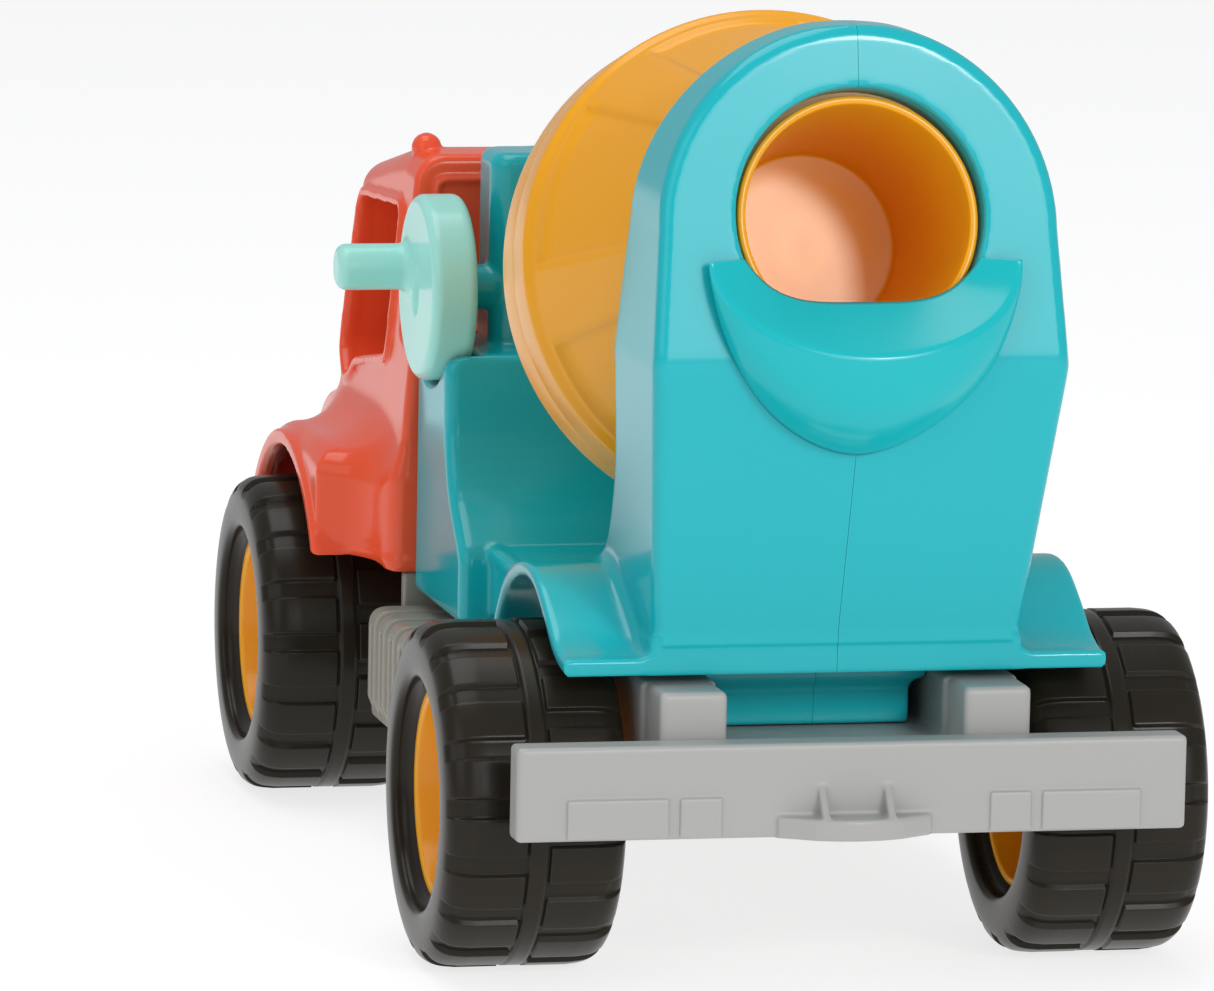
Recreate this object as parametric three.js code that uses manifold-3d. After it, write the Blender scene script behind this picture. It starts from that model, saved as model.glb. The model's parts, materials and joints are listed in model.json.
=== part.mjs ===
// Toy cement mixer truck: a chassis on two axles, a cab, a two-half body with a
// tank and a drum housing, and a drum turned by a hand crank through a gear pair.
// Millimetres, +Z up, front towards -Y, +X is the crank side (the truck's left).
// The origin is on the ground under the middle of the truck.
import * as THREE from "three";
import { mergeVertices } from "three/addons/utils/BufferGeometryUtils.js";
import Module from "manifold-3d";

const wasm = await Module();
wasm.setup();

// ---------- driving dimensions ----------
const gap = 0.3;                  // clearance between touching pieces
const wheelRadius = 42;
const tyreWidth = 44.7;
const trackHalf = 72.1;           // middle of a tyre from the centre plane
const rearAxleY = 112;
const frontAxleY = -128;
const axleRadius = 2.5;

const drumTilt = THREE.MathUtils.degToRad(13.8);
const drumRingY = 77.5;           // centre of the drum's ring
const drumRingZ = 166.2;
const drumRadius = 62.5;
const drumFrontEnd = -88;         // along the drum's axis from the ring
const drumMouthEnd = 87;
const ringFront = -24;
const drumParting = -11.5;        // where the two drum shells meet
const neckRadius = 29;
const holeRadius = 30.2;
const spindleRadius = 4;

const crankY = -46;
const crankZ = 145;
const crankShaftRadius = 3;
const crankWheelRadius = 24;
const crankWheelInner = 52;       // X of the wheel's inner face
const crankWheelOuter = 64;
const wheelRoomRadius = 25.2;       // hollow in the tank's side behind the crank wheel
const wheelRoomInner = 51;
const boreClearance = 0.5;

const shell = 2.6;                // wall thickness of the moulded shells
const tankFront = -62;
const tankRear = -27;                // gear box in the middle
const wingRear = -40;                // the tank beside the gear box
const gearBoxHalf = 33;
const tankHalf = 45;
const tankTop = 180;
const blockHalf = 60;
const blockTop = 131;
const blockBottom = 63;
const deckTop = 83;
const deckHalf = 52;
const skirtBottom = 66;

const housingHalf = 50.6;         // half width at the crease of the rear face
const housingFoot = 45.2;
const housingTop = 232.5;
const housingArch = 48.4;         // radius of the round top
const creaseZ = 152.2;
const creaseY = 171.5;
const footY = 151.5;
const footZ = 85.6;
const housingBottom = 76.4;
const housingTopY = 156.5;

const fenderHalf = 66.8;          // rear fender lip
const railInner = 29;
const railOuter = 45.5;
const railTop = 74.2;
const railBottom = 39;
const railWall = 3;
const railFront = -166;
const railRear = 162;
const chassisDeckZ = 57;
const chassisDeckThick = 2.7;

const cabRear = -62.4;
const cabHalf = 64;
const cabRoof = 175.6;
const cabRoofHalf = 56;
const cabRoofFront = 166;            // the roof falls towards the windscreen
const cabFront = -179;
const cabBottom = 68.2;
const fenderBottom = 69.4;
const fenderLip = 83;             // front fender lip
const fenderArch = 50;

// ---------- materials ----------
const plastic = (color, roughness = 0.35) =>
  new THREE.MeshStandardMaterial({ color, roughness, metalness: 0 });
const turquoise = plastic(0x3cbcc4);
const brightTurquoise = plastic(0x1cc4c8);
const orange = plastic(0xe25a36);
const yellow = plastic(0xeba52d);
const mint = plastic(0x96dac8);
const grey = plastic(0xb4b4b0);
const stepGrey = plastic(0x96918a);
const rubber = plastic(0x322e28, 0.5);
const gearWhite = plastic(0xe8e4da, 0.5);
const steel = new THREE.MeshStandardMaterial({ color: 0xb9bcc0, roughness: 0.3, metalness: 0.9 });

// ---------- helpers ----------
const mirrored = (points) => points.map(([across, up, r]) => [-across, up, r]).reverse();

// A closed outline from [a, b, corner radius] points.
function outline(points) {
  const shape = new THREE.Shape();
  const count = points.length;
  const at = (i) => new THREE.Vector2(points[(i + count) % count][0], points[(i + count) % count][1]);
  for (let i = 0; i < count; i += 1) {
    const corner = at(i);
    const radius = points[i][2] ?? 0;
    const before = at(i - 1).sub(corner).setLength(radius).add(corner);
    const after = at(i + 1).sub(corner).setLength(radius).add(corner);
    if (i === 0) shape.moveTo(before.x, before.y);
    else shape.lineTo(before.x, before.y);
    if (radius > 0) shape.quadraticCurveTo(corner.x, corner.y, after.x, after.y);
  }
  shape.closePath();
  return shape;
}

function toSolid(geometry) {
  const bare = geometry.index ? geometry.toNonIndexed() : geometry.clone();
  bare.deleteAttribute("normal");
  bare.deleteAttribute("uv");
  const merged = mergeVertices(bare, 1e-4);
  return new wasm.Manifold(new wasm.Mesh({
    numProp: 3,
    vertProperties: Float32Array.from(merged.attributes.position.array),
    triVerts: Uint32Array.from(merged.index.array),
  }));
}

function toGeometry(solid) {
  const mesh = solid.getMesh();
  const geometry = new THREE.BufferGeometry();
  geometry.setAttribute("position", new THREE.BufferAttribute(Float32Array.from(mesh.vertProperties), 3));
  geometry.setIndex(new THREE.BufferAttribute(Uint32Array.from(mesh.triVerts), 1));
  geometry.computeVertexNormals();
  return geometry;
}

function extrude(shape, depth, matrix, curveSegments = 4) {
  const geometry = new THREE.ExtrudeGeometry(shape, { depth, bevelEnabled: false, curveSegments });
  return toSolid(geometry.applyMatrix4(matrix));
}

// Outline given in (Y, Z), run from x0 to x1.
function alongX(shape, x0, x1, curveSegments) {
  const turn = new THREE.Matrix4().set(0, 0, 1, x0, 1, 0, 0, 0, 0, 1, 0, 0, 0, 0, 0, 1);
  return extrude(shape, x1 - x0, turn, curveSegments);
}

// Outline given in (X, Z), run from y0 to y1.
function alongY(shape, y0, y1, curveSegments) {
  const turn = new THREE.Matrix4().set(1, 0, 0, 0, 0, 0, -1, y1, 0, 1, 0, 0, 0, 0, 0, 1);
  return extrude(shape, y1 - y0, turn, curveSegments);
}

// Outline given in (X, Y), run from z0 to z1.
function alongZ(shape, z0, z1, curveSegments) {
  return extrude(shape, z1 - z0, new THREE.Matrix4().makeTranslation(0, 0, z0), curveSegments);
}

function box(x0, x1, y0, y1, z0, z1) {
  const geometry = new THREE.BoxGeometry(x1 - x0, y1 - y0, z1 - z0);
  return toSolid(geometry.translate((x0 + x1) / 2, (y0 + y1) / 2, (z0 + z1) / 2));
}

// A rod along X between x0 and x1.
function rodX(radius, x0, x1, y, z, sides = 24) {
  const geometry = new THREE.CylinderGeometry(radius, radius, x1 - x0, sides);
  geometry.rotateZ(-Math.PI / 2).translate((x0 + x1) / 2, y, z);
  return toSolid(geometry);
}

function rodZ(radius, x, y, z0, z1, sides = 16) {
  const geometry = new THREE.CylinderGeometry(radius, radius, z1 - z0, sides);
  geometry.rotateX(Math.PI / 2).translate(x, y, (z0 + z1) / 2);
  return toSolid(geometry);
}

// A turned shape from [radius, height] points that close on themselves or end on the axis.
function turned(points, sides, matrix, start = 0) {
  const profile = points.map(([radius, height]) => new THREE.Vector2(radius, height));
  if (THREE.ShapeUtils.area(profile) < 0) profile.reverse();
  const geometry = new THREE.LatheGeometry(profile, sides, start);
  return toSolid(geometry.applyMatrix4(matrix));
}

// Lathe height becomes +X, starting at x.
const onX = (x, y, z) => new THREE.Matrix4().makeTranslation(x, y, z)
  .multiply(new THREE.Matrix4().makeRotationZ(-Math.PI / 2));

// Lathe height becomes the drum's axis, towards the mouth, from the ring's centre.
const onDrum = new THREE.Matrix4().makeTranslation(0, drumRingY, drumRingZ)
  .multiply(new THREE.Matrix4().makeRotationX(drumTilt));

const bothSides = (make) => make(1).add(make(-1));
const span = (side, a, b) => (side > 0 ? [a, b] : [-b, -a]);
const closed = (points) => [...points, points[0]];

const model = new THREE.Group();

function addNode(name, solid, material) {
  const mesh = new THREE.Mesh(toGeometry(solid), material);
  mesh.name = name;
  model.add(mesh);
}

// ---------- wheels and axles ----------
// The tread has flats, and it stands on one of them.
function tyre(side, axleY) {
  const half = tyreWidth / 2;
  const sides = 32;
  const tread = wheelRadius / Math.cos(Math.PI / sides);
  const profile = closed([
    [28.1, half], [37.8, half - 0.4], [40.6, half - 2.6], [tread, 0.36 * tyreWidth],
    [tread, -0.36 * tyreWidth], [40.6, 2.6 - half], [37.8, 0.4 - half], [28.1, -half],
    [26.4, 4 - half], [26.4, half - 4],
  ]);
  return turned(profile, sides, onX(side * trackHalf, axleY, wheelRadius), Math.PI / sides);
}

function hub(side, axleY) {
  const rim = 26.1;
  const half = tyreWidth / 2;
  const bore = axleRadius + gap;
  const out = [
    [rim, half - 5], [rim - 2.2, half - 5], [rim - 4.2, 4], [12, 2.5], [9, 9], [bore, 9],
    [bore, 1 - half], [7, 1 - half], [7.6, -2], [rim - 2.2, -2], [rim - 2.2, 5 - half], [rim, 5 - half],
  ];
  const points = out.map(([radius, height]) => [radius, side * height]);
  return turned(closed(points), 24, onX(side * trackHalf, axleY, wheelRadius));
}

for (const [end, axleY] of [["front", frontAxleY], ["rear", rearAxleY]]) {
  for (const [hand, side] of [["left", 1], ["right", -1]]) {
    addNode(`${end}_${hand}_tyre`, tyre(side, axleY), rubber);
    addNode(`${end}_${hand}_hub`, hub(side, axleY), yellow);
  }
  const reach = trackHalf + 8;
  addNode(`${end}_axle`, rodX(axleRadius, -reach, reach, axleY, wheelRadius, 20), steel);
}

// ---------- chassis ----------
const saddleHalf = 9;             // length of an axle saddle along Y, each way
const saddleBottom = 35;
const retainerThick = 4;
const retainerScrewX = 37;
const bodyScrews = [[37, 20], [37, 92]];

function rail(side) {
  const [x0, x1] = span(side, railInner, railOuter);
  const outer = box(x0, x1, railFront, railRear, railBottom, railTop);
  const [y0, y1] = [railFront + railWall, railRear - railWall];
  return outer.subtract(box(x0 + railWall, x1 - railWall, y0, y1, 30, railTop - railWall));
}

function saddle(axleY) {
  const [y0, y1] = [axleY - saddleHalf, axleY + saddleHalf];
  return box(-railOuter, railOuter, y0, y1, saddleBottom + retainerThick, chassisDeckZ + 1);
}

function chassis() {
  const half = railInner + 1;
  const deckTopZ = chassisDeckZ + chassisDeckThick;
  const deck = box(-half, half, railFront + 6, railRear - 14, chassisDeckZ, deckTopZ);
  let frame = bothSides(rail).add(deck);
  for (const axleY of [frontAxleY, rearAxleY]) {
    const slot = box(-80, 80, axleY - axleRadius - gap, axleY + axleRadius + gap, 20, wheelRadius);
    const seat = rodX(axleRadius + gap, -80, 80, axleY, wheelRadius);
    frame = frame.add(saddle(axleY)).subtract(slot).subtract(seat);
  }
  for (const side of [1, -1]) {
    for (const [x, y] of bodyScrews) frame = frame.subtract(rodZ(2, side * x, y, 30, 90));
    for (const axleY of [frontAxleY, rearAxleY]) {
      frame = frame.subtract(rodZ(1.3, side * retainerScrewX, axleY + 6, 30, 52, 12));
    }
  }
  return frame;
}

function retainer(axleY) {
  const [y0, y1] = [axleY - saddleHalf, axleY + saddleHalf];
  let bar = box(-railOuter, railOuter, y0, y1, saddleBottom, saddleBottom + retainerThick - gap);
  for (const side of [1, -1]) bar = bar.subtract(rodZ(1.8, side * retainerScrewX, axleY + 6, 20, 60, 12));
  return bar;
}

// A countersunk screw pointing up from headZ.
function screw(x, y, headZ, length, shankRadius, headRadius) {
  const profile = [
    [0, 0], [headRadius, 0], [headRadius, 1.2], [shankRadius, 2.4], [shankRadius, length - 2], [0, length],
  ];
  const upright = new THREE.Matrix4().makeTranslation(x, y, headZ)
    .multiply(new THREE.Matrix4().makeRotationX(Math.PI / 2));
  const reach = headRadius - 0.6;
  const slot = box(x - reach, x + reach, y - 0.4, y + 0.4, headZ - 1, headZ + 0.8);
  return turned(profile, 8, upright).subtract(slot);
}

addNode("chassis_frame", chassis(), grey);
for (const [end, axleY] of [["front", frontAxleY], ["rear", rearAxleY]]) {
  addNode(`${end}_axle_retainer`, retainer(axleY), grey);
  for (const [hand, side] of [["left", 1], ["right", -1]]) {
    const x = side * retainerScrewX;
    addNode(`${end}_retainer_screw_${hand}`, screw(x, axleY + 6, saddleBottom - 2.7, 12, 1, 2.6), steel);
  }
}

const bodyScrewHead = railTop - railWall - 2.8;
for (const [hand, side] of [["left", 1], ["right", -1]]) {
  bodyScrews.forEach(([x, y], index) => {
    addNode(`body_screw_${hand}_${index + 1}`, screw(side * x, y, bodyScrewHead, 11, 1.2, 3), steel);
  });
}

// ---------- bumpers, grille and steps ----------
const bumperHalf = 81.8;
const bumperBottom = 40.6;
const bumperTop = 63.2;
const bumperBack = 171.3;
const bumperThick = 9;
const hitchReach = 179;
const frontEnd = -185;            // front of the front bumper
const rearEnd = 185;              // tip of the chute
const hitchHalf = 18.8;

function rearBumper() {
  const y0 = bumperBack - bumperThick;
  const end = outline([
    [y0, bumperBottom], [bumperBack, bumperBottom, 1.2], [bumperBack, bumperTop, 1.2], [y0, bumperTop],
  ]);
  let bar = alongX(end, -bumperHalf, bumperHalf, 2);
  const hitchPlan = new THREE.Shape();
  hitchPlan.moveTo(-hitchHalf, bumperBack - 2);
  hitchPlan.lineTo(-hitchHalf, bumperBack + 1);
  hitchPlan.quadraticCurveTo(-9, hitchReach, 0, hitchReach);
  hitchPlan.quadraticCurveTo(9, hitchReach, hitchHalf, bumperBack + 1);
  hitchPlan.lineTo(hitchHalf, bumperBack - 2);
  bar = bar.add(alongZ(hitchPlan, bumperBottom, bumperBottom + 5.2, 6));
  const ribReach = hitchReach - 1.6;
  const rib = outline([
    [bumperBack - 2, 44], [ribReach, 44], [ribReach, 46], [bumperBack, 53.3], [bumperBack - 2, 53.3],
  ]);
  for (const side of [1, -1]) bar = bar.add(alongX(rib, side * 8 - 1, side * 8 + 1));
  const pads = [[45.2, 69.8], [32.4, 42.5], [-43.3, -33.2], [-70.3, -46]];
  for (const [x0, x1] of pads) {
    bar = bar.add(box(x0, x1, bumperBack - 1, bumperBack + 0.6, bumperBottom + 0.4, 50.6));
  }
  return bar;
}

function frontBumper() {
  const right = [[60, frontEnd, 8], [80, -178, 4], [80, -167]];
  const plan = outline([...mirrored(right), ...right]);
  const bar = alongZ(plan, bumperBottom, 60, 4)
    .subtract(rodX(wheelRadius + 1.5, -90, 90, frontAxleY, wheelRadius, 48));
  return bar.subtract(box(-railOuter - gap, -railInner + gap, -170, -160, 30, 70))
    .subtract(box(railInner - gap, railOuter + gap, -170, -160, 30, 70));
}

addNode("rear_bumper", rearBumper(), grey);
addNode("front_bumper", frontBumper(), grey);

const stepFront = -63;
const stepRear = 52;
const stepTop = 59.5;
const stepBottom = 30;
const stepOuter = 72;

function sideStep(side) {
  const inner = railOuter + gap;
  const [outer, top] = [stepOuter - 1.4, stepTop - 1.4];
  const points = [
    [inner, 48], [50, 48], [50, stepBottom], [outer, stepBottom, 2], [outer, top, 5], [inner, top],
  ];
  const handed = (list) => (side > 0 ? list : mirrored(list));
  let step = alongY(outline(handed(points)), stepFront, stepRear, 4);
  const ribPoints = [
    [51, stepBottom + 1], [stepOuter - 2, stepBottom + 1], [stepOuter, 36],
    [stepOuter, stepTop, 5], [51, stepTop],
  ];
  const pitch = 12.5;
  for (let y = stepFront + 1.5; y < stepRear - 4; y += pitch) {
    step = step.add(alongY(outline(handed(ribPoints)), y, y + 9, 4));
  }
  return step;
}

addNode("side_step_left", sideStep(1), stepGrey);
addNode("side_step_right", sideStep(-1), stepGrey);

// ---------- body: tank, deck, fenders and drum housing, moulded as two halves ----------
const housingSide = (inset) => outline([
  [footY - inset, housingBottom - 4 * inset], [footY - inset, footZ, 3], [creaseY - inset, creaseZ, 4],
  [housingTopY - inset, housingTop], [141.6 - 20 * inset, housingTop], [128.6 - 20 * inset, 185],
  [123.4 - 20 * inset, 139], [116.3 - 20 * inset, 118.6], [103.3 - 20 * inset, 102], [85 - 20 * inset, 92],
  [85 - 20 * inset, housingBottom - 4 * inset],
]);

function housingFace(inset) {
  const archZ = housingTop - housingArch;
  const foot = housingFoot - inset;
  const shape = new THREE.Shape();
  shape.moveTo(-foot, housingBottom - 4 * inset);
  shape.lineTo(foot, housingBottom - 4 * inset);
  shape.lineTo(foot, footZ);
  shape.lineTo(housingHalf - inset, creaseZ);
  shape.absarc(0, archZ, housingArch - inset, 0, Math.PI, false);
  shape.lineTo(inset - housingHalf, creaseZ);
  shape.lineTo(-foot, footZ);
  shape.closePath();
  return shape;
}

const housingOuter = () => alongX(housingSide(0), -60, 60).intersect(alongY(housingFace(0), 60, 200, 24));

function housing() {
  const inner = alongX(housingSide(shell), -60, 60).intersect(alongY(housingFace(shell), 20, 200, 24));
  return housingOuter().subtract(inner);
}

function rearFender(side) {
  const crown = new THREE.SplineCurve([
    [65, 62], [66.5, 70], [70.5, 79], [80, 89], [92, 94.8], [106, 97], [117, 95.4], [128, 90], [139, 82.5],
    [footY, 77.5],
  ].map(([y, z]) => new THREE.Vector2(y, z)));
  const steps = 18;
  const upper = crown.getPoints(steps);
  const lower = upper.map((point, i) => {
    const tangent = crown.getTangent(i / steps);
    return new THREE.Vector2(point.x + tangent.y * 3, point.y - tangent.x * 3);
  });
  const [x0, x1] = span(side, 42, fenderHalf);
  return alongX(new THREE.Shape([...upper, ...lower.reverse()]), x0, x1);
}

function deck() {
  const slab = box(-deckHalf, deckHalf, -8, 66, deckTop - 3, deckTop);
  const under = box(-housingFoot + 1, housingFoot - 1, 60, footY - 1, deckTop - 3, deckTop);
  const skirts = bothSides((side) => {
    const [x0, x1] = span(side, deckHalf - shell, deckHalf);
    return box(x0, x1, -8, 67, skirtBottom, deckTop - 1);
  });
  const bosses = bothSides((side) => bodyScrews.map(([x, y]) => {
    const post = box(side * x - 4, side * x + 4, y - 4, y + 4, railTop + gap, deckTop - 1);
    return post.subtract(rodZ(1.5, side * x, y, 60, bodyScrewHead + 11.4, 12));
  }).reduce((all, post) => all.add(post)));
  const belly = box(-24, 24, 0, 129, chassisDeckZ + chassisDeckThick + gap, deckTop - 1)
    .subtract(box(-24 + shell, 24 - shell, shell, 129 - shell, 50, deckTop - 3));
  return slab.add(under).add(skirts).add(bosses).add(belly);
}

const notch = (radius, x) => rodX(radius, x, 90, crankY, crankZ, 40);

function block() {
  const side = (inset) => outline([
    [tankFront + inset, blockBottom - 4 * inset], [tankFront + inset, blockTop - inset],
    [tankRear + 3 - inset, blockTop - inset, 3], [tankRear + 5 - inset, 100, 12],
    [-2 - inset, deckTop - 1 - inset, 3], [-2 - inset, blockBottom - 4 * inset],
  ]);
  const face = (inset) => {
    const half = blockHalf - inset;
    const right = [[half, blockBottom - 20], [half, blockTop - inset, 6]];
    return outline([...right, ...mirrored(right)]);
  };
  const outer = alongX(side(0), -70, 70).intersect(alongY(face(0), -90, 60))
    .subtract(notch(wheelRoomRadius, wheelRoomInner));
  const inner = alongX(side(shell), -70, 70).intersect(alongY(face(shell), -90, 60))
    .subtract(notch(wheelRoomRadius + shell, wheelRoomInner - shell));
  return [outer, inner];
}

function upperTank() {
  const plan = (inset) => {
    const half = tankHalf - inset;
    const box = gearBoxHalf - inset;
    const [front, wing, rear] = [tankFront + inset, wingRear - inset, tankRear - inset];
    const right = [[half, front, 6], [half, wing, 5], [box, wing], [box, rear, 4]];
    return outline([...right, ...mirrored(right)]);
  };
  const outer = alongZ(plan(0), blockTop - 8, tankTop);
  const inner = alongZ(plan(shell), blockTop - 12, tankTop - shell);
  return [outer, inner];
}

// Bearing rings for the crank shaft; the one on the crank's side stands out as a boss.
function bearings() {
  const ring = (x0, x1) => rodX(crankShaftRadius + 2.4, x0, x1, crankY, crankZ);
  const shelf = box(24, 27, tankFront + 1, tankRear - 1, blockTop - 2, crankZ + 8);
  return ring(24, crankWheelInner - 1).add(ring(1 - tankHalf, 8 - tankHalf)).add(shelf);
}

function bodyWhole() {
  const [blockOuter, blockInner] = block();
  const [tankOuter, tankInner] = upperTank();
  const tanks = blockOuter.add(tankOuter).subtract(blockInner).subtract(tankInner);
  const railRoom = bothSides((side) => {
    const [x0, x1] = span(side, railInner - 0.4, railOuter + 0.4);
    return box(x0, x1, -80, 170, 20, railTop + 0.3);
  });
  const between = box(-railInner, railInner, -80, -1, 20, chassisDeckZ + chassisDeckThick + gap);
  const hole = rodAlongDrum(holeRadius, 40, 140, 48);
  const spindleBore = rodAlongDrum(spindleRadius + boreClearance, -118, -90, 20);
  const crankBore = rodX(crankShaftRadius + boreClearance, -tankHalf + 3, 70, crankY, crankZ, 20);
  return tanks.add(bearings()).add(deck()).add(bothSides(rearFender)).add(housing())
    .subtract(railRoom).subtract(between).subtract(hole).subtract(spindleBore).subtract(crankBore);
}

function rodAlongDrum(radius, from, to, sides) {
  const geometry = new THREE.CylinderGeometry(radius, radius, to - from, sides);
  geometry.translate(0, (from + to) / 2, 0).applyMatrix4(onDrum);
  return toSolid(geometry);
}

const wholeBody = bodyWhole();
const halfGap = gap / 2;
addNode("body_shell_left", wholeBody.intersect(box(halfGap, 100, -200, 200, 0, 300)), turquoise);
addNode("body_shell_right", wholeBody.intersect(box(-100, -halfGap, -200, 200, 0, 300)), turquoise);

// ---------- chute ----------
const chuteHalf = 38;
const chuteTip = 178;             // height of the two tips
const chuteFloor = 168;           // height of the floor where it meets the housing
const rimDrop = 21;
const bellyDepth = 45;
const chuteSteps = 20;

// Y of the housing's rear face above the crease.
const faceY = (z) => creaseY - (creaseY - housingTopY) * (z - creaseZ) / (housingTop - creaseZ);

// One section of the scoop, from the wall along the floor to the rim and back under the belly.
function chuteSection(turn) {
  const across = Math.cos(turn);
  const out = Math.sin(turn);
  const back = 150;
  const tipY = faceY(chuteTip) + 4;
  const innerZ = chuteFloor + (chuteTip - chuteFloor) * across ** 4;
  const innerX = across * (29 - 0.6 * across ** 2);
  const rimX = chuteHalf * across;
  const rimY = tipY + (rearEnd - tipY) * out ** 1.3;
  const rimZ = chuteTip - rimDrop * out;
  const bellyX = 36.5 * Math.sign(across) * Math.abs(across) ** 1.15;
  const bellyZ = chuteTip - 2 - bellyDepth * out;
  return [
    [innerX, back, innerZ], [innerX, faceY(innerZ) + 1.4, innerZ], [rimX, rimY, rimZ],
    [rimX * 0.99, rimY - 3.2 * out, rimZ - 2 - 12 * out],
    [(rimX + bellyX) / 2, faceY(chuteTip) + 2 + 1.5 * out, bellyZ + 6 * out], [bellyX, back, bellyZ],
  ];
}

function chute() {
  const sections = [];
  for (let i = 0; i <= chuteSteps; i += 1) sections.push(chuteSection(Math.PI * i / chuteSteps));
  const size = sections[0].length;
  const last = chuteSteps * size;
  const triangles = [];
  for (let i = 0; i < chuteSteps; i += 1) {
    for (let j = 0; j < size; j += 1) {
      const a = i * size + j;
      const b = i * size + (j + 1) % size;
      triangles.push(a, b, a + size, b, b + size, a + size);
    }
  }
  for (let j = 1; j < size - 1; j += 1) {
    triangles.push(0, j + 1, j);
    triangles.push(last, last + j, last + j + 1);
  }
  const geometry = new THREE.BufferGeometry();
  geometry.setAttribute("position", new THREE.Float32BufferAttribute(sections.flat(2), 3));
  geometry.setIndex(triangles);
  const clearOf = alongX(housingSide(0), -60, 60).translate([0, gap, 0]);
  return toSolid(geometry).subtract(clearOf);
}

addNode("chute", chute(), brightTurquoise);

// ---------- drum and its drive ----------
const drumWall = 2.2;
const cupFloor = 32;              // along the drum's axis
const cupRadius = 22.5;

function drumRear() {
  return turned([
    [0, cupFloor], [cupRadius, cupFloor], [neckRadius - 2, drumMouthEnd], [neckRadius, drumMouthEnd],
    [neckRadius, drumMouthEnd - 6], [60.5, 2], [drumRadius, 1], [drumRadius, drumParting],
    [drumRadius - drumWall, drumParting], [58, 0], [neckRadius - 0.5, 72], [cupRadius + 2, cupFloor - 2],
    [0, cupFloor - 2],
  ], 40, onDrum);
}

function drumFront() {
  const bore = spindleRadius + gap;
  const profile = closed([
    [drumRadius, drumParting - gap], [drumRadius, ringFront], [60.5, ringFront - 1.5],
    [34, drumFrontEnd], [bore, drumFrontEnd], [bore, drumFrontEnd + 12], [8, drumFrontEnd + 12],
    [8, drumFrontEnd + drumWall], [32.4, drumFrontEnd + drumWall],
    [drumRadius - drumWall, ringFront + 1], [drumRadius - drumWall, drumParting - gap],
  ]);
  return turned(profile, 40, onDrum);
}

const crownFace = -116;           // along the drum's axis, where the pegs stand
const crownBack = -113.5;
const pegCount = 12;
const pegCircle = 18;
const pegRadius = 1.5;
const pegEnd = -120;
const pinionTeeth = 6;
const pinionRadius = 7.8;
const pinionX = 15.6;             // middle of the pinion on the crank shaft
const pinionPhase = THREE.MathUtils.degToRad(44);   // turns the teeth to meet the pegs

function crownGear() {
  const bore = spindleRadius + gap;
  const rim = pegCircle + 2;
  const profile = closed([[bore, crownBack], [bore, crownFace], [rim, crownFace], [rim, crownBack]]);
  let gear = turned(profile, 24, onDrum);
  for (let i = 0; i < pegCount; i += 1) {
    const turn = 2 * Math.PI * i / pegCount;
    const peg = new THREE.CylinderGeometry(pegRadius, pegRadius, crownFace - pegEnd + 0.5, 8);
    peg.translate(pegCircle * Math.cos(turn), (crownFace + pegEnd) / 2 + 0.25, pegCircle * Math.sin(turn));
    gear = gear.add(toSolid(peg.applyMatrix4(onDrum)));
  }
  return gear;
}

function pinion() {
  const x0 = pinionX - 2;
  const x1 = pinionX + 2;
  let gear = rodX(4.3, x0, x1, crankY, crankZ, 24);
  for (let i = 0; i < pinionTeeth; i += 1) {
    const turn = 2 * Math.PI * i / pinionTeeth;
    const tooth = outline([[3, -1.3], [pinionRadius, -0.7], [pinionRadius, 0.7], [3, 1.3]]);
    const placed = new THREE.ExtrudeGeometry(tooth, { depth: x1 - x0, bevelEnabled: false });
    placed.rotateZ(turn + pinionPhase);
    placed.applyMatrix4(new THREE.Matrix4().set(0, 0, 1, x0, 1, 0, 0, crankY, 0, 1, 0, crankZ, 0, 0, 0, 1));
    gear = gear.add(toSolid(placed));
  }
  return gear.subtract(rodX(crankShaftRadius + gap, x0 - 1, x1 + 1, crankY, crankZ, 20));
}

function spindle() {
  return turned([
    [0, drumFrontEnd + 14], [spindleRadius, drumFrontEnd + 14], [spindleRadius, crownFace], [0, crownFace],
  ], 20, onDrum);
}

function crankShaft() {
  return rodX(crankShaftRadius, 3.4 - tankHalf, crankWheelInner + 7, crankY, crankZ, 20);
}

const handleOffset = 12;
const handleRadius = 6;
const handleEnd = 82.6;
const handleRise = 3.9;

function crankWheel() {
  const wheel = turned([
    [0, crankWheelInner], [crankWheelRadius - 2, crankWheelInner], [crankWheelRadius, crankWheelInner + 2],
    [crankWheelRadius, crankWheelOuter - 3], [crankWheelRadius - 3, crankWheelOuter], [0, crankWheelOuter],
  ], 40, onX(0, crankY, crankZ));
  const handleY = crankY - handleOffset;
  const handleZ = crankZ + handleRise;
  const handle = turned([
    [0, crankWheelOuter - 4], [handleRadius, crankWheelOuter - 4], [handleRadius, handleEnd - 2],
    [handleRadius - 2, handleEnd], [0, handleEnd],
  ], 24, onX(0, handleY, handleZ));
  const boreRadius = crankShaftRadius + gap;
  const shaftBore = rodX(boreRadius, crankWheelInner - 2, crankWheelInner + 7.4, crankY, crankZ, 20);
  const screwBore = rodX(3, crankWheelInner + 7, crankWheelOuter + 2, crankY, crankZ, 16);
  return wheel.add(handle).subtract(shaftBore).subtract(screwBore);
}

function crankScrew() {
  const x = crankWheelOuter - 1.5;
  const profile = [[0, x - 2.4], [2.6, x - 2.4], [2.6, x - 0.6], [1.8, x], [0, x]];
  const slot = box(x - 0.8, x + 1, crankY - 0.4, crankY + 0.4, crankZ - 1.8, crankZ + 1.8);
  return turned(profile, 16, onX(0, crankY, crankZ)).subtract(slot);
}

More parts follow.
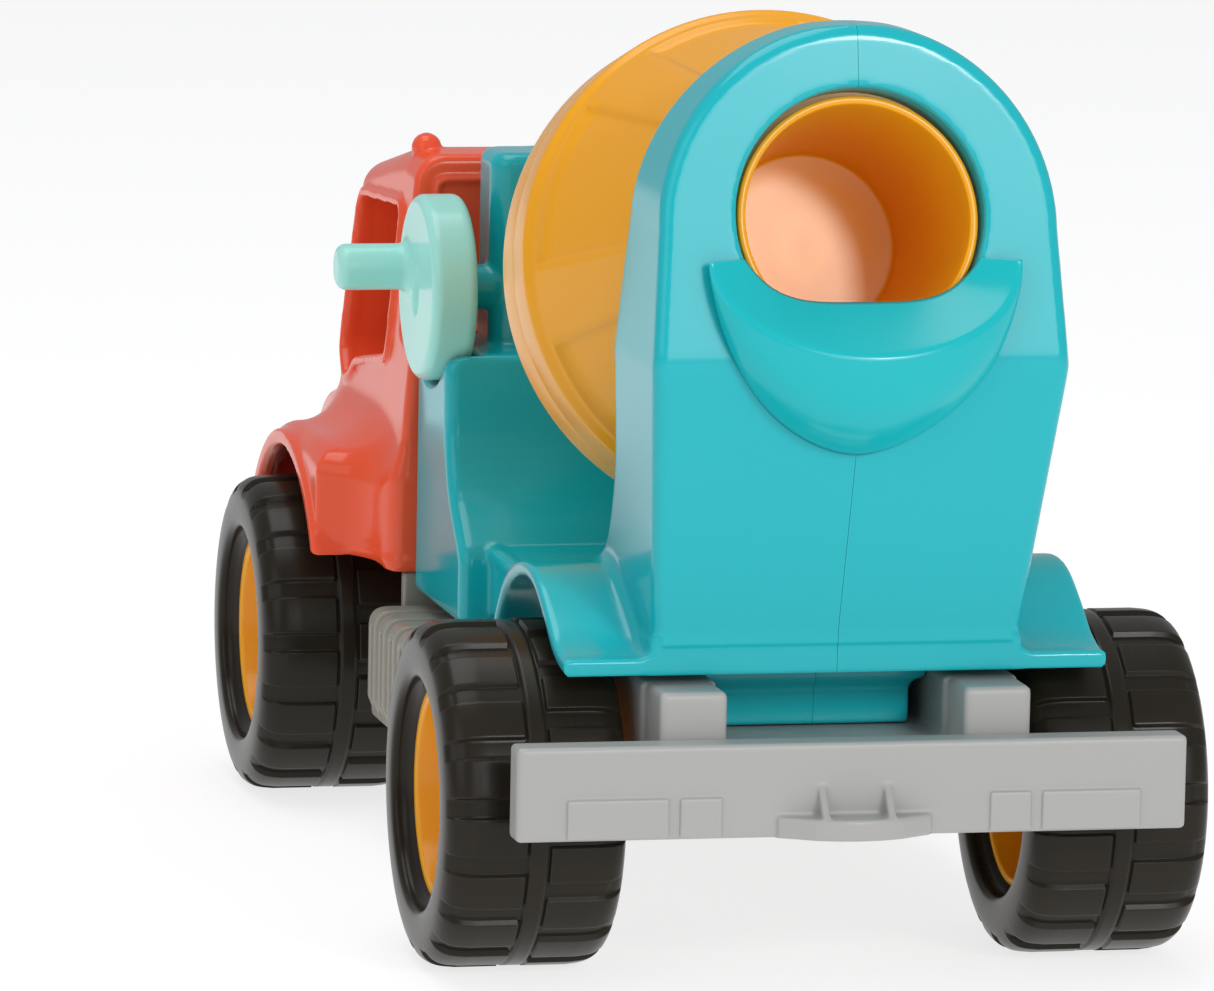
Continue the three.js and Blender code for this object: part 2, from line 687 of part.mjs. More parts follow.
addNode("drum_rear_shell", drumRear(), yellow);
addNode("drum_front_shell", drumFront(), yellow);
addNode("drum_spindle", spindle(), steel);
addNode("drum_crown_gear", crownGear(), gearWhite);
addNode("crank_pinion", pinion(), gearWhite);
addNode("crank_shaft", crankShaft(), steel);
addNode("crank_wheel", crankWheel(), mint);
addNode("crank_screw", crankScrew(), steel);

// ---------- cab ----------
function cabSolid(inset) {
  const down = 10 * inset;
  const side = outline([
    [cabRear - inset, cabBottom - down], [cabRear - inset, 126 - inset, 3], [-79 - inset, 129 - inset, 3],
    [-84 - inset, cabRoof - 0.6 - inset, 5], [-97, cabRoof - inset], [-112, cabRoof - 2 - inset],
    [-151 + inset, cabRoofFront - inset, 6], [-151.5 + inset, 105 - inset],
    [-168 + inset, 101 - inset, 5], [cabFront + inset, 92, 5], [cabFront + inset, cabBottom - down],
  ]);
  const half = cabHalf - inset;
  const right = [
    [half, cabBottom - down], [half, 96], [62 - inset, 122], [cabRoofHalf - inset, cabRoof - inset, 8],
  ];
  const front = outline([...right, ...mirrored(right)]);
  return alongX(side, -90, 90).intersect(alongY(front, -200, 0));
}

function fenderSolid(inset) {
  const down = 10 * inset;
  const lip = fenderLip - inset;
  const plan = outline([
    [0, cabRear - inset], [cabHalf - inset, cabRear - inset], [65 - inset, -72], [68 - inset, -80 - inset, 4],
    [lip, -85 - inset, 3], [lip, -168 + inset, 4], [66 - inset, -175 + inset], [0, -175 + inset],
  ]);
  const side = outline([
    [-64, fenderBottom - down], [-64, 84 - inset], [-80, 90 - inset, 6], [-98, 97 - inset, 10],
    [-152, 97 - inset, 14],
    [-174 + inset, 82, 6], [-175 + inset, fenderBottom - down],
  ]);
  const half = alongZ(plan, fenderBottom - down - 1, 120).intersect(alongX(side, 0, 90));
  return half.add(half.mirror([1, 0, 0]));
}

function cab() {
  let body = cabSolid(0).add(fenderSolid(0)).subtract(cabSolid(shell)).subtract(fenderSolid(shell));
  body = body.subtract(rodX(fenderArch, -90, 90, frontAxleY, wheelRadius, 64))
    .subtract(box(-railOuter - gap, railOuter + gap, -172, -50, 50, railTop + gap));
  const window = outline([
    [-148, 157, 3], [-95, 160, 3], [-91, 122, 3], [-118, 118, 3], [-130, 116, 3],
    [-140, 110, 3], [-148.5, 117, 3],
  ]);
  body = body.subtract(alongX(window, -80, 80));
  const windscreen = outline([[-50, 112, 5], [50, 112, 5], [46, 157, 5], [-46, 157, 5]]);
  body = body.subtract(alongY(windscreen, -160, -140));
  for (const side of [1, -1]) {
    const dome = new THREE.SphereGeometry(4, 16, 8).translate(side * 51, -98, cabRoof - 0.3);
    body = body.add(toSolid(dome).subtract(box(-90, 90, -200, 0, 100, cabRoof - 2.4)));
  }
  return body;
}

function cabSeat() {
  const floorZ = railTop + gap;
  const plate = box(-railOuter, railOuter, -150, -76, floorZ, floorZ + 3);
  const cup = rodZ(23, 0, -112, floorZ + 2, floorZ + 16, 32)
    .subtract(rodZ(20.5, 0, -112, floorZ + 3, floorZ + 20, 32));
  return plate.add(cup);
}

function grille() {
  let panel = box(-34, 34, cabFront - 2, cabFront - gap, 70, 88);
  for (let i = 0; i < 4; i += 1) {
    panel = panel.subtract(box(-20, 20, cabFront - 4, cabFront - 1.2, 72 + 4 * i, 74 + 4 * i));
  }
  for (const side of [1, -1]) {
    const ring = new THREE.CylinderGeometry(5.5, 5.5, 2, 20).translate(side * 27.5, cabFront - 2, 79);
    panel = panel.add(toSolid(ring));
  }
  return panel;
}

addNode("cab_shell", cab(), orange);
addNode("cab_seat", cabSeat(), grey);
addNode("front_grille", grille(), grey);

export default model;
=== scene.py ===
"""Toy cement mixer: looks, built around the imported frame. Lengths in the shape code are millimetres."""

import json
import math

import bmesh
import bpy
import numpy as np
import openvdb
from mathutils import Matrix, Vector


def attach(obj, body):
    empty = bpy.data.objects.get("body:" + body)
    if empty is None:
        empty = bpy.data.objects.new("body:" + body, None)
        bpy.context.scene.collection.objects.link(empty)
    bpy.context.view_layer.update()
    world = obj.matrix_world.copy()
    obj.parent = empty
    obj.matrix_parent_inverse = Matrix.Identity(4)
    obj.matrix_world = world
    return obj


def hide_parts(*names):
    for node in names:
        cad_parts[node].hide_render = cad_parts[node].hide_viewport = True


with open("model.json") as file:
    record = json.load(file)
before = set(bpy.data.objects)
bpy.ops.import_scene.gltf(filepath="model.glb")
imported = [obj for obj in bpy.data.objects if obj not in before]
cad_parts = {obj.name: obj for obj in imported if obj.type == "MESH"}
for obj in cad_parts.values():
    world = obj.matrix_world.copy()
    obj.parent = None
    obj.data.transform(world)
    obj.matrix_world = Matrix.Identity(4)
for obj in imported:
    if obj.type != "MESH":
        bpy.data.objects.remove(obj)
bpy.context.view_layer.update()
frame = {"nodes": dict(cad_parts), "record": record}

MM = 0.001

# ---------- driving dimensions, millimetres ----------
WHEEL_RADIUS = 42.0
TYRE_WIDTH = 44.7
TRACK_HALF = 72.1
REAR_AXLE_Y = 112.0
FRONT_AXLE_Y = -128.0
GAP = 0.3
PARTING = 0.06

DRUM_TILT = math.radians(13.8)
DRUM_RING_Y = 77.5
DRUM_RING_Z = 166.2
DRUM_RADIUS = 62.5
DRUM_FRONT_END = -88.0
DRUM_MOUTH_END = 87.0
RING_FRONT = -24.0
DRUM_PARTING = -11.5
NECK_RADIUS = 29.3
HOLE_RADIUS = 30.2
HOLE_RISE = 0.5
HOLE_START = 40
COLLAR_DEPTH = 7.0
COLLAR_WALL = 2.2
SPINDLE_BORE = 4.5
SPINDLE_BORE_END = -90

CRANK_Y = -46.0
CRANK_Z = 145.0
CRANK_RADIUS = 24.0
CRANK_INNER = 52.0
CRANK_OUTER = 64.0
BOSS_RADIUS = 5.8
WHEEL_ROOM_RADIUS = 25.2
WHEEL_ROOM_INNER = 51.0

WALL = 2.6
TANK_FRONT = -62.0
TANK_REAR = -27.0
WING_REAR = -40.0
GEAR_BOX_HALF = 33.0
TANK_HALF = 45.0
TANK_TOP = 180.0
BLOCK_HALF = 60.0
BLOCK_TOP = 131.0
BLOCK_BOTTOM = 63.0
DECK_TOP = 83.0
DECK_HALF = 52.0
SKIRT_BOTTOM = 66.0

HOUSING_HALF = 50.6
HOUSING_FOOT = 45.2
HOUSING_TOP = 232.5
HOUSING_ARCH = 48.4
CREASE_Z = 152.2
CREASE_Y = 171.5
FOOT_Y = 151.5
FOOT_Z = 85.6
HOUSING_BOTTOM = 76.4
FOOT_CUT_FRONT = 130.5
HOUSING_TOP_Y = 156.5
FENDER_HALF = 66.8

RAIL_INNER = 29.0
RAIL_OUTER = 45.5
RAIL_CLEARANCE = 1.4
RAIL_TOP = 74.2
RAIL_BOTTOM = 39.0
RAIL_FRONT = -166.0
RAIL_REAR = 162.0
CHASSIS_DECK = (57.0, 59.7)

CAB_REAR = -62.4
CAB_HALF = 64.0
CAB_ROOF = 175.6
CAB_ROOF_HALF = 56.0
CAB_ROOF_LINE = ((-151, 166.0), (-112, 173.6), (-97, CAB_ROOF), (-84, 175.0))
CAB_FRONT = -179.0
CAB_BOTTOM = 68.2
CAB_FENDER_BOTTOM = 69.4
CAB_LIP = 83.0
CAB_ARCH = 50.0
BEACON_X, BEACON_Y, BEACON_RADIUS = 51, -98, 4.0

# ---------- camera: the photograph's viewing angle ----------
YAW, PITCH, ROLL = (math.radians(a) for a in (12.78, 8.47, 1.11))
CAMERA_DISTANCE = 2136.6
CAMERA_SLIDE = (46.7, -13.3)
AIM = Vector((0.0, REAR_AXLE_Y, 100.0))
SENSOR = 36.0
LENS = 261.13


def make_camera():
    back = Vector((math.sin(YAW) * math.cos(PITCH), math.cos(YAW) * math.cos(PITCH), math.sin(PITCH)))
    level = (-back).cross(Vector((0, 0, 1))).normalized()
    up = level.cross(-back)
    right = math.cos(ROLL) * level + math.sin(ROLL) * up
    over = -math.sin(ROLL) * level + math.cos(ROLL) * up
    place = AIM + back * CAMERA_DISTANCE - right * CAMERA_SLIDE[0] - over * CAMERA_SLIDE[1]
    data = bpy.data.cameras.new("camera")
    data.sensor_width = SENSOR
    data.lens = LENS
    data.clip_start = 0.05
    data.clip_end = 20
    camera = bpy.data.objects.new("camera", data)
    bpy.context.collection.objects.link(camera)
    turn = Matrix((right, over, back)).transposed().to_4x4()
    camera.matrix_world = Matrix.Translation(place * MM) @ turn
    bpy.context.scene.camera = camera


make_camera()


# ---------- outlines ----------
def corner_curve(start, corner, end, t):
    """A point at t on the curve from start to end that leans towards the corner."""
    return (1 - t) ** 2 * start + 2 * t * (1 - t) * corner + t * t * end


def rounded(points, steps=8):
    """A closed outline from (a, b, corner radius) points, with its corners rounded."""
    path = []
    count = len(points)
    for i, point in enumerate(points):
        corner = np.array(point[:2], float)
        radius = point[2] if len(point) > 2 else 0.0
        if not radius:
            path.append(corner)
            continue
        sides = []
        for other in (points[i - 1], points[(i + 1) % count]):
            away = np.array(other[:2], float) - corner
            sides.append(corner + away / np.linalg.norm(away) * radius)
        for t in np.linspace(0, 1, steps):
            path.append(corner_curve(sides[0], corner, sides[1], t))
    return path


def mirrored(points):
    return [(-p[0], *p[1:]) for p in reversed(points)]


def arc(centre, radius, start, end, steps):
    """Points on an arc, angles in degrees."""
    turns = np.radians(np.linspace(start, end, steps))
    return [(centre[0] + radius * math.cos(t), centre[1] + radius * math.sin(t)) for t in turns]


def smooth_curve(points, steps):
    """A Catmull-Rom curve through the points."""
    p = np.array([points[0], *points, points[-1]], float)
    path = []
    for i in range(1, len(p) - 2):
        for t in np.linspace(0, 1, steps, endpoint=False):
            a = 2 * p[i]
            b = (p[i + 1] - p[i - 1]) * t
            c = (2 * p[i - 1] - 5 * p[i] + 4 * p[i + 1] - p[i + 2]) * t * t
            d = (3 * p[i] - p[i - 1] - 3 * p[i + 1] + p[i + 2]) * t ** 3
            path.append((a + b + c + d) / 2)
    path.append(p[-1])
    return np.array(path)


# ---------- shapes as distances, negative inside ----------
def meet(a, b, radius=0.0):
    """Where both shapes are, with a rounded edge."""
    if not radius:
        return np.maximum(a, b)
    edge = np.hypot(np.maximum(a + radius, 0), np.maximum(b + radius, 0))
    return np.minimum(np.maximum(a, b), -radius) + edge


def join(a, b, radius=0.0):
    """Where either shape is, with a filleted corner."""
    if not radius:
        return np.minimum(a, b)
    corner = np.hypot(np.maximum(radius - a, 0), np.maximum(radius - b, 0))
    return np.maximum(np.minimum(a, b), radius) - corner


def cut(a, b, radius=0.0):
    return meet(a, -b, radius)


def outline_distance(points, u, v):
    """Signed distance to a closed outline at every (u, v)."""
    p = np.array([tuple(q[:2]) for q in points], float)
    across, along = np.meshgrid(u, v, indexing="ij")
    best = np.full(across.shape, np.inf)
    inside = np.zeros(across.shape, bool)
    for (ax, ay), (bx, by) in zip(p, np.roll(p, -1, axis=0)):
        ex, ey = bx - ax, by - ay
        size = ex * ex + ey * ey
        if size < 1e-9:
            continue
        wx, wy = across - ax, along - ay
        t = np.clip((wx * ex + wy * ey) / size, 0, 1)
        best = np.minimum(best, (wx - t * ex) ** 2 + (wy - t * ey) ** 2)
        if ey:
            inside ^= ((ay > along) != (by > along)) & (across < ax + wy * ex / ey)
    return (np.where(inside, -1.0, 1.0) * np.sqrt(best)).astype(np.float32)


class Block:
    """A block of space, sampled on a regular grid, in which a moulding is shaped."""

    def __init__(self, low, high, cell):
        cell = cell * 1.0
        self.cell = cell
        self.low = np.array(low, float)
        counts = np.ceil((np.array(high, float) - self.low) / cell).astype(int) + 1
        steps = [start + cell * np.arange(count) for start, count in zip(self.low, counts)]
        self.axes = [axis.astype(np.float32) for axis in steps]
        self.x = self.axes[0][:, None, None]
        self.y = self.axes[1][None, :, None]
        self.z = self.axes[2][None, None, :]

    def yz(self, points):
        return outline_distance(points, self.axes[1], self.axes[2])[None, :, :]

    def xz(self, points):
        return outline_distance(points, self.axes[0], self.axes[2])[:, None, :]

    def xy(self, points):
        return outline_distance(points, self.axes[0], self.axes[1])[:, :, None]

    def slab_x(self, low, high):
        return np.abs(self.x - (low + high) / 2) - (high - low) / 2

    def slab_y(self, low, high):
        return np.abs(self.y - (low + high) / 2) - (high - low) / 2

    def slab_z(self, low, high):
        return np.abs(self.z - (low + high) / 2) - (high - low) / 2

    def box(self, x, y, z, radius=0.0):
        flat = meet(self.slab_x(*x), self.slab_y(*y), radius)
        return meet(flat, self.slab_z(*z), radius)

    def rod_x(self, radius, y, z):
        return np.hypot(self.y - y, self.z - z) - radius

    def rod_z(self, radius, x, y):
        return np.hypot(self.x - x, self.y - y) - radius

    def drum_coordinates(self, rise=0.0):
        """Distance along the drum's axis from the ring, and distance from that axis raised by rise."""
        dy, dz = self.y - DRUM_RING_Y, self.z - DRUM_RING_Z
        along = dy * math.cos(DRUM_TILT) + dz * math.sin(DRUM_TILT)
        above = dz * math.cos(DRUM_TILT) - dy * math.sin(DRUM_TILT) - rise
        return along, np.hypot(self.x, above)

    def surface(self, name, values, flip_x=False):
        """A mesh object over the zero level of the values."""
        shape = tuple(len(a) for a in self.axes)
        values = np.array(np.broadcast_to(values, shape), dtype=np.float32, order="C")
        grid = openvdb.FloatGrid(background=float(values.max()))
        grid.copyFromArray(values)
        points, quads = grid.convertToQuads(isovalue=0.0)
        points = points * self.cell + self.low
        if flip_x:
            points[:, 0] *= -1
        return mesh_object(name, points, quads[:, ::-1] if not flip_x else quads)


def mesh_object(name, points, faces):
    """Points in millimetres and a table of four-cornered faces become an object."""
    points = np.asarray(points, dtype=np.float64) * MM
    faces = np.asarray(faces, dtype=np.int32)
    a, b, c, d = (points[faces[:, i]] for i in range(4))
    volume = np.einsum("ij,ij->i", a, np.cross(b, c)).sum()
    volume += np.einsum("ij,ij->i", a, np.cross(c, d)).sum()
    if volume < 0:
        faces = faces[:, ::-1]
    mesh = bpy.data.meshes.new(name)
    mesh.vertices.add(len(points))
    mesh.vertices.foreach_set("co", points.ravel())
    mesh.loops.add(faces.size)
    mesh.loops.foreach_set("vertex_index", np.ascontiguousarray(faces).ravel())
    mesh.polygons.add(len(faces))
    mesh.polygons.foreach_set("loop_start", np.arange(0, faces.size, 4, dtype=np.int32))
    mesh.polygons.foreach_set("loop_total", np.full(len(faces), 4, dtype=np.int32))
    mesh.update(calc_edges=True)
    mesh.validate()
    mesh.polygons.foreach_set("use_smooth", np.ones(len(mesh.polygons), dtype=bool))
    piece = bpy.data.objects.new(name, mesh)
    bpy.context.collection.objects.link(piece)
    return piece


def keep_side(piece, side):
    """Cuts the piece on the parting plane and keeps one side of it, with the cut closed."""
    sheet = bmesh.new()
    sheet.from_mesh(piece.data)
    everything = [*sheet.verts, *sheet.edges, *sheet.faces]
    plane = Vector((side * PARTING * MM, 0, 0))
    found = bmesh.ops.bisect_plane(
        sheet, geom=everything, dist=1e-7, plane_co=plane, plane_no=(side, 0, 0), clear_inner=True)
    rim = [e for e in found["geom_cut"] if isinstance(e, bmesh.types.BMEdge)]
    filled = bmesh.ops.triangle_fill(sheet, use_beauty=True, use_dissolve=False, edges=rim)
    for face in filled["geom"]:
        if isinstance(face, bmesh.types.BMFace):
            face.smooth = False
    for edge in rim:
        edge.smooth = False
    bmesh.ops.recalc_face_normals(sheet, faces=sheet.faces)
    sheet.to_mesh(piece.data)
    sheet.free()


def sheet_grid(name, points, close_u=True):
    """A mesh over a table of points, rows joined to rows and closed round; shape (rows, columns, 3)."""
    rows, columns = points.shape[:2]
    index = np.arange(rows * columns).reshape(rows, columns)
    if close_u:
        index = np.vstack([index, index[:1]])
    index = np.hstack([index, index[:, :1]])
    corners = [index[:-1, :-1], index[1:, :-1], index[1:, 1:], index[:-1, 1:]]
    return mesh_object(name, points.reshape(-1, 3), np.stack(corners, axis=-1).reshape(-1, 4))


# ---------- materials ----------
TONE_SCALE, GLOSS_SCALE, GRAIN_SCALE, TURNING_SCALE = 9, 35, 260, 400
RUBBED = (0.52, 0.62)
GRAIN_HEIGHT = 0.0004
PLASTIC_IOR = 1.42
SCATTER = 0.004


def plastic(name, color, roughness=0.2, mottle=0.04, grain=0.02, subsurface=0.05, edge_tone=1.12,
            specular=0.5):
    """Moulded plastic: a little uneven in tone, with flow marks in the gloss and a fine moulded grain."""
    material = bpy.data.materials.new(name)
    material.use_nodes = True
    nodes, links = material.node_tree.nodes, material.node_tree.links
    shader = nodes["Principled BSDF"]
    place = nodes.new("ShaderNodeTexCoord")

    def noise(scale, detail):
        texture = nodes.new("ShaderNodeTexNoise")
        texture.inputs["Scale"].default_value = scale
        texture.inputs["Detail"].default_value = detail
        links.new(place.outputs["Object"], texture.inputs["Vector"])
        return texture.outputs["Fac"]

    tone = nodes.new("ShaderNodeMix")
    tone.data_type = "RGBA"
    tone.inputs[6].default_value = (*[c * (1 - mottle) for c in color], 1)
    tone.inputs[7].default_value = (*[min(1, c * (1 + mottle)) for c in color], 1)
    links.new(noise(TONE_SCALE, 3), tone.inputs[0])

    rubbed = nodes.new("ShaderNodeMapRange")
    rubbed.inputs["From Min"].default_value, rubbed.inputs["From Max"].default_value = RUBBED
    links.new(nodes.new("ShaderNodeNewGeometry").outputs["Pointiness"], rubbed.inputs["Value"])
    edges = nodes.new("ShaderNodeMix")
    edges.data_type = "RGBA"
    edges.inputs[7].default_value = (*[min(1, c * edge_tone + 0.01) for c in color], 1)
    links.new(rubbed.outputs["Result"], edges.inputs[0])
    links.new(tone.outputs[2], edges.inputs[6])
    links.new(edges.outputs[2], shader.inputs["Base Color"])

    gloss = nodes.new("ShaderNodeMapRange")
    gloss.inputs["To Min"].default_value = roughness * 0.85
    gloss.inputs["To Max"].default_value = roughness * 1.2
    links.new(noise(GLOSS_SCALE, 4), gloss.inputs["Value"])
    links.new(gloss.outputs["Result"], shader.inputs["Roughness"])

    bump = nodes.new("ShaderNodeBump")
    bump.inputs["Strength"].default_value = grain
    bump.inputs["Distance"].default_value = GRAIN_HEIGHT
    links.new(noise(GRAIN_SCALE, 2), bump.inputs["Height"])
    links.new(bump.outputs["Normal"], shader.inputs["Normal"])

    shader.inputs["IOR"].default_value = PLASTIC_IOR
    shader.inputs["Specular IOR Level"].default_value = specular
    shader.inputs["Subsurface Weight"].default_value = subsurface
    shader.inputs["Subsurface Radius"].default_value = (SCATTER, SCATTER, SCATTER)
    shader.inputs["Subsurface Scale"].default_value = 0.5
    return material


def metal(name, color, roughness):
    """Plated steel with fine turning marks."""
    material = bpy.data.materials.new(name)
    material.use_nodes = True
    nodes, links = material.node_tree.nodes, material.node_tree.links
    shader = nodes["Principled BSDF"]
    shader.inputs["Base Color"].default_value = (*color, 1)
    shader.inputs["Metallic"].default_value = 1.0
    place = nodes.new("ShaderNodeTexCoord")
    texture = nodes.new("ShaderNodeTexNoise")
    texture.inputs["Scale"].default_value = TURNING_SCALE
    links.new(place.outputs["Object"], texture.inputs["Vector"])
    gloss = nodes.new("ShaderNodeMapRange")
    gloss.inputs["To Min"].default_value = roughness * 0.7
    gloss.inputs["To Max"].default_value = roughness * 1.4
    links.new(texture.outputs["Fac"], gloss.inputs["Value"])
    links.new(gloss.outputs["Result"], shader.inputs["Roughness"])
    return material


TURQUOISE = plastic("turquoise_plastic", (0.008, 0.42, 0.47), roughness=0.16)
CHUTE_COLOR = plastic("chute_plastic", (0.004, 0.44, 0.475), roughness=0.2)
ORANGE = plastic("orange_plastic", (0.84, 0.092, 0.030))
YELLOW = plastic("yellow_plastic", (0.86, 0.37, 0.008), roughness=0.24)
MINT = plastic("mint_plastic", (0.37, 0.79, 0.71), roughness=0.2)
GREY = plastic("grey_plastic", (0.375, 0.37, 0.355), roughness=0.38, grain=0.06)
# Side steps: a darker copy of the grey plastic; the darkness is painted shade where the steps sit under the
# body.
SHADED_STEP_GREY = plastic("step_plastic", (0.30, 0.285, 0.24), roughness=0.35, grain=0.06)
TYRE = plastic("tyre", (0.016, 0.0125, 0.0075), roughness=0.27, grain=0.05, subsurface=0.0, edge_tone=1.5,
               specular=0.28)
GEAR = plastic("gear_plastic", (0.80, 0.78, 0.70), roughness=0.45)
STEEL = metal("steel", (0.62, 0.63, 0.64), 0.3)
SLOT_MATERIAL = {
    "turquoise_plastic": TURQUOISE, "chute_plastic": CHUTE_COLOR, "orange_plastic": ORANGE,
    "yellow_plastic": YELLOW, "mint_plastic": MINT, "grey_plastic": GREY, "step_plastic": SHADED_STEP_GREY,
    "tyre": TYRE, "gear_plastic": GEAR, "steel": STEEL,
}
NODE_SLOT = {part["node"]: part["material_slot"] for part in frame["record"]["subparts"]}
NODE_BODY = {node: body for body, nodes in frame["record"]["behaviour"]["bodies"].items() for node in nodes}


def fit(piece, node):
    """The piece stands for that node: same body, same material slot."""
    slot = NODE_SLOT[node]
    piece.data.materials.append(SLOT_MATERIAL[slot])
    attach(piece, NODE_BODY[node])
    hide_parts(node)


# ---------- body halves ----------
def housing_side(block, inset):
    """Side outline. It runs on below the foot, and the inner one well past the open front."""
    deep = 20 * inset
    below = HOUSING_BOTTOM - 6 - 4 * inset
    return block.yz(rounded([
        (FOOT_Y - inset, below), (FOOT_Y - inset, FOOT_Z, 4), (CREASE_Y - inset, CREASE_Z, 5),
        (HOUSING_TOP_Y - inset, HOUSING_TOP + 1), (141.6 - deep, HOUSING_TOP + 1), (128.6 - deep, 185, 30),
        (123.4 - deep, 139, 14), (116.3 - deep, 118.6, 10), (103.3 - deep, 102, 8), (85 - deep, 92),
        (85 - deep, below),
    ]))


def housing_face(block, inset):
    foot = HOUSING_FOOT - inset
    below = HOUSING_BOTTOM - 6 - 4 * inset
    arch = arc((0, HOUSING_TOP - HOUSING_ARCH), HOUSING_ARCH - inset, 0, 180, 65)
    right = [(foot, below), (foot, FOOT_Z), (HOUSING_HALF - inset, CREASE_Z)]
    left = [(-a, b) for a, b in reversed(right)]
    return block.xz([*right, *arch, *left])


def housing(block):
    outer = meet(housing_side(block, 0), housing_face(block, 0), 3.0)
    inner = meet(housing_side(block, WALL), housing_face(block, WALL), 1.5)
    return outer, inner


def rear_fender(block):
    """The mudguard: a curved skin over the wheel that ends in a short upright lip at the back."""
    crown = smooth_curve([
        (65, 62), (66.5, 70), (70.5, 79), (80, 89), (92, 94.8), (106, 97), (117, 95.4), (128, 90),
        (138, 83.8), (145.5, 81.3), (FOOT_Y - 0.4, 80.7),
    ], 8)
    tangent = np.gradient(crown, axis=0)
    tangent /= np.linalg.norm(tangent, axis=1)[:, None]
    lower = crown + 3.6 * np.stack([tangent[:, 1], -tangent[:, 0]], axis=1)
    foot = HOUSING_BOTTOM - 6
    band = block.yz([*crown, (FOOT_Y + 2, 80.5), (FOOT_Y + 2, foot), (FOOT_Y - 3.4, foot), *lower[::-1]])
    return meet(band, block.slab_x(36, FENDER_HALF), 1.3)


def deck(block):
    plate = meet(block.slab_y(-8, 150), block.slab_z(DECK_TOP - 3, DECK_TOP))
    slab = meet(block.slab_x(-90, DECK_HALF), plate, 1.0)
    slab = meet(slab, np.minimum(block.y - 66, block.x - HOUSING_FOOT + 1), 0.0)
    skirt = block.box((DECK_HALF - WALL, DECK_HALF), (-8, 67), (SKIRT_BOTTOM, DECK_TOP), 1.0)
    belly = block.box((-24, 24), (0, 129), (CHASSIS_DECK[1] + GAP, DECK_TOP - 1), 1.0)
    belly = cut(belly, block.box((-24 + WALL, 24 - WALL), (WALL, 129 - WALL), (50, DECK_TOP - 3)))
    return join(join(slab, skirt, 2.0), belly)


def tanks(block, crank_side):
    def lower(inset):
        side = block.yz(rounded([
            (TANK_FRONT + inset, BLOCK_BOTTOM - 4 * inset), (TANK_FRONT + inset, BLOCK_TOP - inset),
            (TANK_REAR + 3 - inset, BLOCK_TOP - inset, 3), (TANK_REAR + 5 - inset, 100, 14),
            (-2 - inset, DECK_TOP - 1 - inset, 4), (-2 - inset, BLOCK_BOTTOM - 4 * inset),
        ]))
        across = block.slab_x(inset - BLOCK_HALF, BLOCK_HALF - inset)
        return meet(side, meet(across, block.z - BLOCK_TOP + inset, 6.0), 3.0)

    def upper(inset):
        wings = meet(block.slab_x(inset - TANK_HALF, TANK_HALF - inset),
                     block.slab_y(TANK_FRONT + inset, WING_REAR - inset), 5.5)
        gear_box = meet(block.slab_x(inset - GEAR_BOX_HALF, GEAR_BOX_HALF - inset),
                        block.slab_y(TANK_FRONT + inset, TANK_REAR - inset), 4.0)
        height = block.slab_z(BLOCK_TOP - 8 - 4 * inset, TANK_TOP - inset)
        return meet(join(wings, gear_box, 1.5), height, 3.5)

    outer, inner = lower(0), lower(WALL)
    if crank_side:
        wheel_room = block.rod_x(WHEEL_ROOM_RADIUS, CRANK_Y, CRANK_Z)
        outer = cut(outer, np.maximum(wheel_room, WHEEL_ROOM_INNER - block.x), 1.0)
        inner = cut(inner, np.maximum(wheel_room - WALL, WHEEL_ROOM_INNER - WALL - block.x), 1.0)
    return cut(join(outer, upper(0), 2.5), join(inner, upper(WALL)), 0.4)


def body_half(hand, crank_side):
    """One half, made on the +X side and turned over for the other."""
    block = Block((-2.4, -64, 56), (69.2, 174, 235), 0.8)
    shell_outer, shell_inner = housing(block)
    fender = rear_fender(block)
    floor = join(deck(block), fender, 2.0)
    shape = join(shell_outer, floor, 4.0)
    foot_room = np.maximum(shell_inner, DECK_TOP - block.z)
    shape = cut(shape, foot_room, 0.5)
    along, radius = block.drum_coordinates(HOLE_RISE)
    collar = meet(radius - HOLE_RADIUS - COLLAR_WALL, DRUM_MOUTH_END - COLLAR_DEPTH - along, 0.5)
    collar = meet(collar, shell_outer)
    shape = join(shape, collar)
    behind_foot = np.maximum(FOOT_Y - block.y, block.z - FOOT_Z + 2)
    below_foot = np.maximum(block.z - HOUSING_BOTTOM, FOOT_CUT_FRONT - block.y)
    shape = cut(cut(shape, behind_foot), below_foot, 0.9)
    shape = join(shape, tanks(block, crank_side), 1.5)
    shape = cut(shape, np.maximum(radius - HOLE_RADIUS, HOLE_START - along), 1.0)
    along, radius = block.drum_coordinates()
    shape = cut(shape, np.maximum(radius - SPINDLE_BORE, along - SPINDLE_BORE_END))
    rail_room = block.slab_x(RAIL_INNER - RAIL_CLEARANCE, RAIL_OUTER + RAIL_CLEARANCE)
    rail_room = meet(rail_room, block.z - RAIL_TOP - GAP)
    between = meet(block.x - RAIL_INNER, np.maximum(block.y + 1, block.z - CHASSIS_DECK[1] - GAP))
    shape = cut(cut(shape, rail_room), between)
    if crank_side:
        length = block.slab_x(TANK_HALF - 2, CRANK_INNER - 0.9)
        boss = meet(block.rod_x(BOSS_RADIUS, CRANK_Y, CRANK_Z), length, 0.8)
        shape = join(shape, boss, 1.0)
        shape = cut(shape, np.maximum(block.rod_x(3.5, CRANK_Y, CRANK_Z), 20 - block.x))
    piece = block.surface(f"{hand}_body_moulding", shape, flip_x=not crank_side)
    keep_side(piece, 1 if crank_side else -1)
    return piece


fit(body_half("left", True), "body_shell_left")
fit(body_half("right", False), "body_shell_right")


